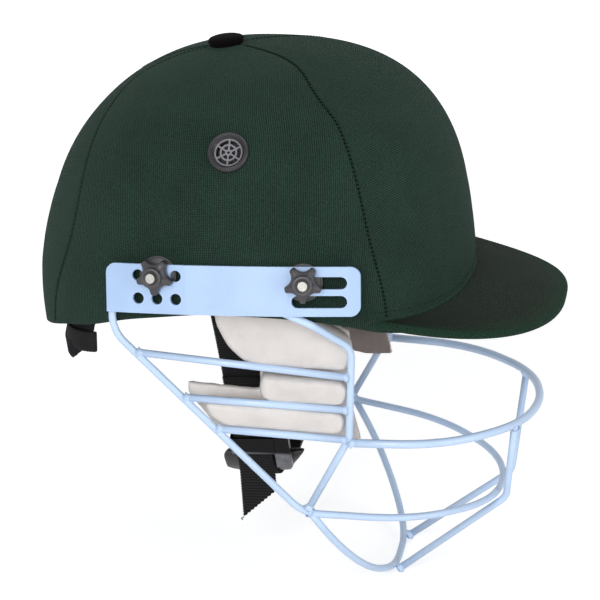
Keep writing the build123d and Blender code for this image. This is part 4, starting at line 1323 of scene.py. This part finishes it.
def lobe_piece(name, outline, top, mirror):
    """Crowned pad: draws in at its foot, bulges, and rounds over to a soft crown."""
    across, up, out = cheek_axes()
    ring = rounded_outline(outline)
    layers = [(inset(ring, d), LOBE_BASE + (top - LOBE_BASE) * h) for d, h in LOBE_PROFILE]
    centre = ring.mean(0)
    spine = layers[-1][0]
    for share in (0.75, 0.5, 0.25, 0.05):
        flatter = np.stack([centre[0] + (spine[:, 0] - centre[0]) * (0.35 + 0.65 * share),
                            spine[:, 1] * share + (1 - share) * middle_line(ring, spine[:, 0])], -1)
        layers.append((flatter, top + 0.5 * (1 - share)))
    points = []
    for layer, height in layers:
        for x, y in layer:
            p = Vector(CHEEK_ORIGIN) + across * float(x) + up * float(y) + out * height
            points.append((p.x, p.y * mirror, p.z))
    count = len(ring)
    last = (len(layers) - 1) * count
    faces = grid_faces(len(layers), count, wrap=True)
    faces += [tuple(range(count))[::-1], tuple(range(last, last + count))]
    form = mesh_object(name + "_form", to_metres(points), faces)
    bm = bmesh.new()
    bm.from_mesh(form.data)
    bmesh.ops.recalc_face_normals(bm, faces=bm.faces)
    bm.to_mesh(form.data)
    bm.free()
    piece = remeshed(name, form, 1.3, 1)
    bpy.data.objects.remove(form)
    inflate(piece, 2.0, 0.6)
    crease(piece, mirror)
    return piece


def middle_line(ring, x):
    """Height of an outline's middle over each x."""
    order = np.linspace(ring[:, 0].min(), ring[:, 0].max(), 24)
    middles = []
    for at in order:
        near = ring[np.abs(ring[:, 0] - at) < 3.0]
        middles.append((near[:, 1].min() + near[:, 1].max()) / 2)
    return np.interp(x, order, middles)


def crease(piece, mirror):
    """Soft pulls in the hide, strongest at the front of each lobe."""
    across, up, out = cheek_axes()
    points = np.array([v.co for v in piece.data.vertices]) / MM
    local = points * np.array([1, mirror, 1]) - np.array(CHEEK_ORIGIN)
    x, y, h = local @ np.array(across), local @ np.array(up), local @ np.array(out)
    front = np.clip((x - 5) / 30, 0, 1)
    wave = np.sin(0.33 * x + 0.5 * y) * 0.5 + np.sin(0.21 * x - 0.62 * y + 1.3) * 0.5
    lift = CREASE_DEPTH * wave * front * np.clip((h + 6) / 5, 0, 1)
    points += np.array([out.x, out.y * mirror, out.z]) * lift[:, None]
    move_points(piece, points * MM)


def make_cheek_pads(mats):
    """Three lobes on a board on each side; the board's inner face takes a darker taupe, which is painted
    shade.
    """
    hide_finish = mats["pad_leather"]
    for side, mirror in SIDES:
        for name, (outline, top) in LOBES.items():
            piece = lobe_piece(f"{side}_cheek_{name}_lobe", outline, top, mirror)
            finish_soft(piece, hide_finish, "helmet", [f"{side}_cheek_pad_{name}"])
        board = soft_copy(f"{side}_cheek_board", f"{side}_cheek_pad_backing", hide_finish,
                          voxel=1.2, smooth=3, pressure=0)
        board.data.materials.append(mats["pad_backing"])
        # Faces turned in towards the head take the darker taupe, as painted shade.
        for face in board.data.polygons:
            if face.normal.y * mirror > 0.3:
                face.material_index = 1


# Straps


def leaning(points):
    """Harness points swung forward to where the strap hangs."""
    lean = math.radians(STRAP_LEAN)
    out = []
    for x, y, z in points:
        dx, dz = x - STRAP_X, z - STRAP_PIVOT_Z
        out.append((STRAP_X + dx * math.cos(lean) - dz * math.sin(lean), y,
                    STRAP_PIVOT_Z + dx * math.sin(lean) + dz * math.cos(lean)))
    return out


def strap_run(offset):
    """Right half of the strap line in distance from the middle and height, top to lowest point."""
    radius = CUP_RADIUS + 0.4 + offset
    bend = np.array([STRAP_BEND[0] + offset, STRAP_BEND[1]])
    centre = np.array([0, CUP_CENTRE_Z])
    away = bend - centre
    start = math.atan2(away[1], away[0]) - math.acos(radius / np.linalg.norm(away))
    turns = np.linspace(start, -math.pi / 2, 14)
    arc = [centre + radius * np.array([math.cos(turn), math.sin(turn)]) for turn in turns]
    top = [np.array([STRAP_PLANE + offset, STRAP_PIVOT_Z + rise]) for rise in (8, -6)]
    return top + [bend, arc[0]], arc[1:]


def ribbed(name, spots, across, width, thick, material, body, nodes, taper=None, lean=False):
    """Webbing along a line of points, its width along a direction, with a rib across it every pitch."""
    line = np.array(spots, float)
    for _ in range(2):
        near = line[1:-1] * 0.75
        cut = np.stack([near + line[:-2] * 0.25, near + line[2:] * 0.25], 1).reshape(-1, 3)
        line = np.concatenate([line[:1], cut, line[-1:]])
    run = lengths_along(line)
    count = int(run[-1] / RIB_PITCH * 4)
    at = np.linspace(0, run[-1], count)
    spots = read_line(line, run, at)
    across = np.array(across, float) / np.linalg.norm(across)
    normal = np.cross(np.gradient(spots, axis=0), across)
    normal /= np.linalg.norm(normal, axis=1, keepdims=True)
    rib = np.cos(at / RIB_PITCH * 2 * np.pi)
    shares = [-0.5, -0.48, -0.4, -0.2, 0, 0.2, 0.4, 0.48, 0.5]
    loop = [(s, 1) for s in shares] + [(s, -1) for s in shares[::-1]]
    points, uvs = [], []
    for k in range(count):
        edge = RIB_EDGE[0] + RIB_EDGE[1] * rib[k]
        for s, face in loop:
            flank = 0.35 if abs(s) == 0.5 else (0.8 if abs(s) > 0.45 else 1)
            half = thick / 2 * flank + RIB_HEIGHT * rib[k] * flank
            side = s * width + math.copysign(edge, s) * (abs(s) > 0.45)
            if taper is not None:
                side = min(side, taper(spots[k][2]) + 0.5 * rib[k])
            points.append(spots[k] + normal[k] * half * face + across * side)
            uvs.append((side * MM, at[k] * MM))
    faces = grid_faces(count, len(loop), wrap=True)
    faces += [tuple(range(len(loop)))[::-1], tuple(range((count - 1) * len(loop), count * len(loop)))]
    points = leaning(points) if lean else points
    piece = new_piece(name, points, faces, material, body, uvs=uvs)
    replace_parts(piece, *nodes)


def nape_line(height, forward):
    """Points round the nape from side to side, on the cradle's outside."""
    half_x, half_y = ((size / 2 + NAPE_OUTSET) * NAPE_SCALE for size in (SHELL_LENGTH, SHELL_WIDTH))
    turns = np.radians(np.linspace(180 - forward, 180 + forward, 60))
    spots = []
    for turn in turns:
        c, s = math.cos(turn), math.sin(turn)
        k = (abs(c) ** ROUNDNESS + abs(s) ** ROUNDNESS) ** (-1 / ROUNDNESS)
        x = half_x * k * c
        spots.append((x, half_y * k * s, height(x)))
    return spots


TAIL_GAP = 0.05
TAIL_RUN = 7.0
TAIL_MIDDLE_Z = -135.0
TAIL_BOTTOM_Z = -153.0
HANGER_WIDTH = 19.0
HANGER_INSET = 17.8
NAPE_WIDTH = 11.0
BAND_THICKNESS = 1.3


def tail_edge(z):
    """Furthest forward that the slant-cut end reaches at a height, from the strap's middle."""
    return np.interp(z, [-152.0, -134.0, -120.0], [-11.5, 10.0, 27.0])


def harness(line):
    """Line of distance and height pairs, set on the strap's middle on the right side."""
    return [(STRAP_X, -p[0], p[1]) for p in line]


def make_straps(mats):
    """Webbing of the chin strap, its loose end, the nape and the hangers, and the slider's finish."""
    line, arc = strap_run(STRAP_THICKNESS / 2)
    half = line + arc
    whole = harness(half + [np.array([-p[0], p[1]]) for p in half[::-1][1:]])
    black = mats["webbing"]
    ahead_x = (1, 0, 0)
    strap = (ahead_x, STRAP_WIDTH, STRAP_THICKNESS, black, "chin_harness")
    ribbed("chin_webbing", whole, *strap, ["chin_strap"], lean=True)
    line, _ = strap_run(1.5 * STRAP_THICKNESS + TAIL_GAP)
    bend, touch = line[2], line[3]
    ahead = (touch - bend) / np.linalg.norm(touch - bend)
    knee = touch + ahead * TAIL_RUN
    drop = [bend + (touch - bend) * 0.45, bend + (touch - bend) * 0.75, touch, knee,
            np.array([knee[0], TAIL_MIDDLE_Z]), np.array([knee[0], TAIL_BOTTOM_Z])]
    ribbed("tail_webbing", harness(drop), *strap, ["strap_tail"], taper=tail_edge, lean=True)
    band = nape_line(lambda x: np.interp(x, [-110, -74], [-40.5, -28.0]), 47)
    ribbed("nape_webbing", band, (0, 0, 1), NAPE_WIDTH, BAND_THICKNESS, black, "nape_cradle", ["nape_strap"])
    for side in (1, -1):
        heights = np.linspace(5, 46, 12)
        foot = np.stack([0 * heights + STRAP_X, 0 * heights, heights], -1)
        face = cast(foot, np.array([[0.0, -side, 0.0]] * 12), HANGER_INSET)
        name = f"{'right' if side > 0 else 'left'}_hanger_tab"
        ribbed(name, face, ahead_x, HANGER_WIDTH, BAND_THICKNESS, black, "helmet", ["strap_hangers"])
    dress("strap_slider", mats["slider_plastic"])
    bevel("strap_slider", 0.6)


def main():
    """Stage, then every piece, then the scene's view transform."""
    make_camera()
    make_world()
    make_stage()
    mats = make_materials()
    dress("outer_shell", mats["shell_plastic"])
    make_cover(mats)
    crown_button(mats)
    make_peak(mats)
    make_guard(mats)
    make_fixings(mats)
    make_vents(mats)
    make_liner(mats)
    make_cheek_pads(mats)
    make_straps(mats)
    scene = bpy.context.scene
    scene.view_settings.view_transform = "Standard"


main()
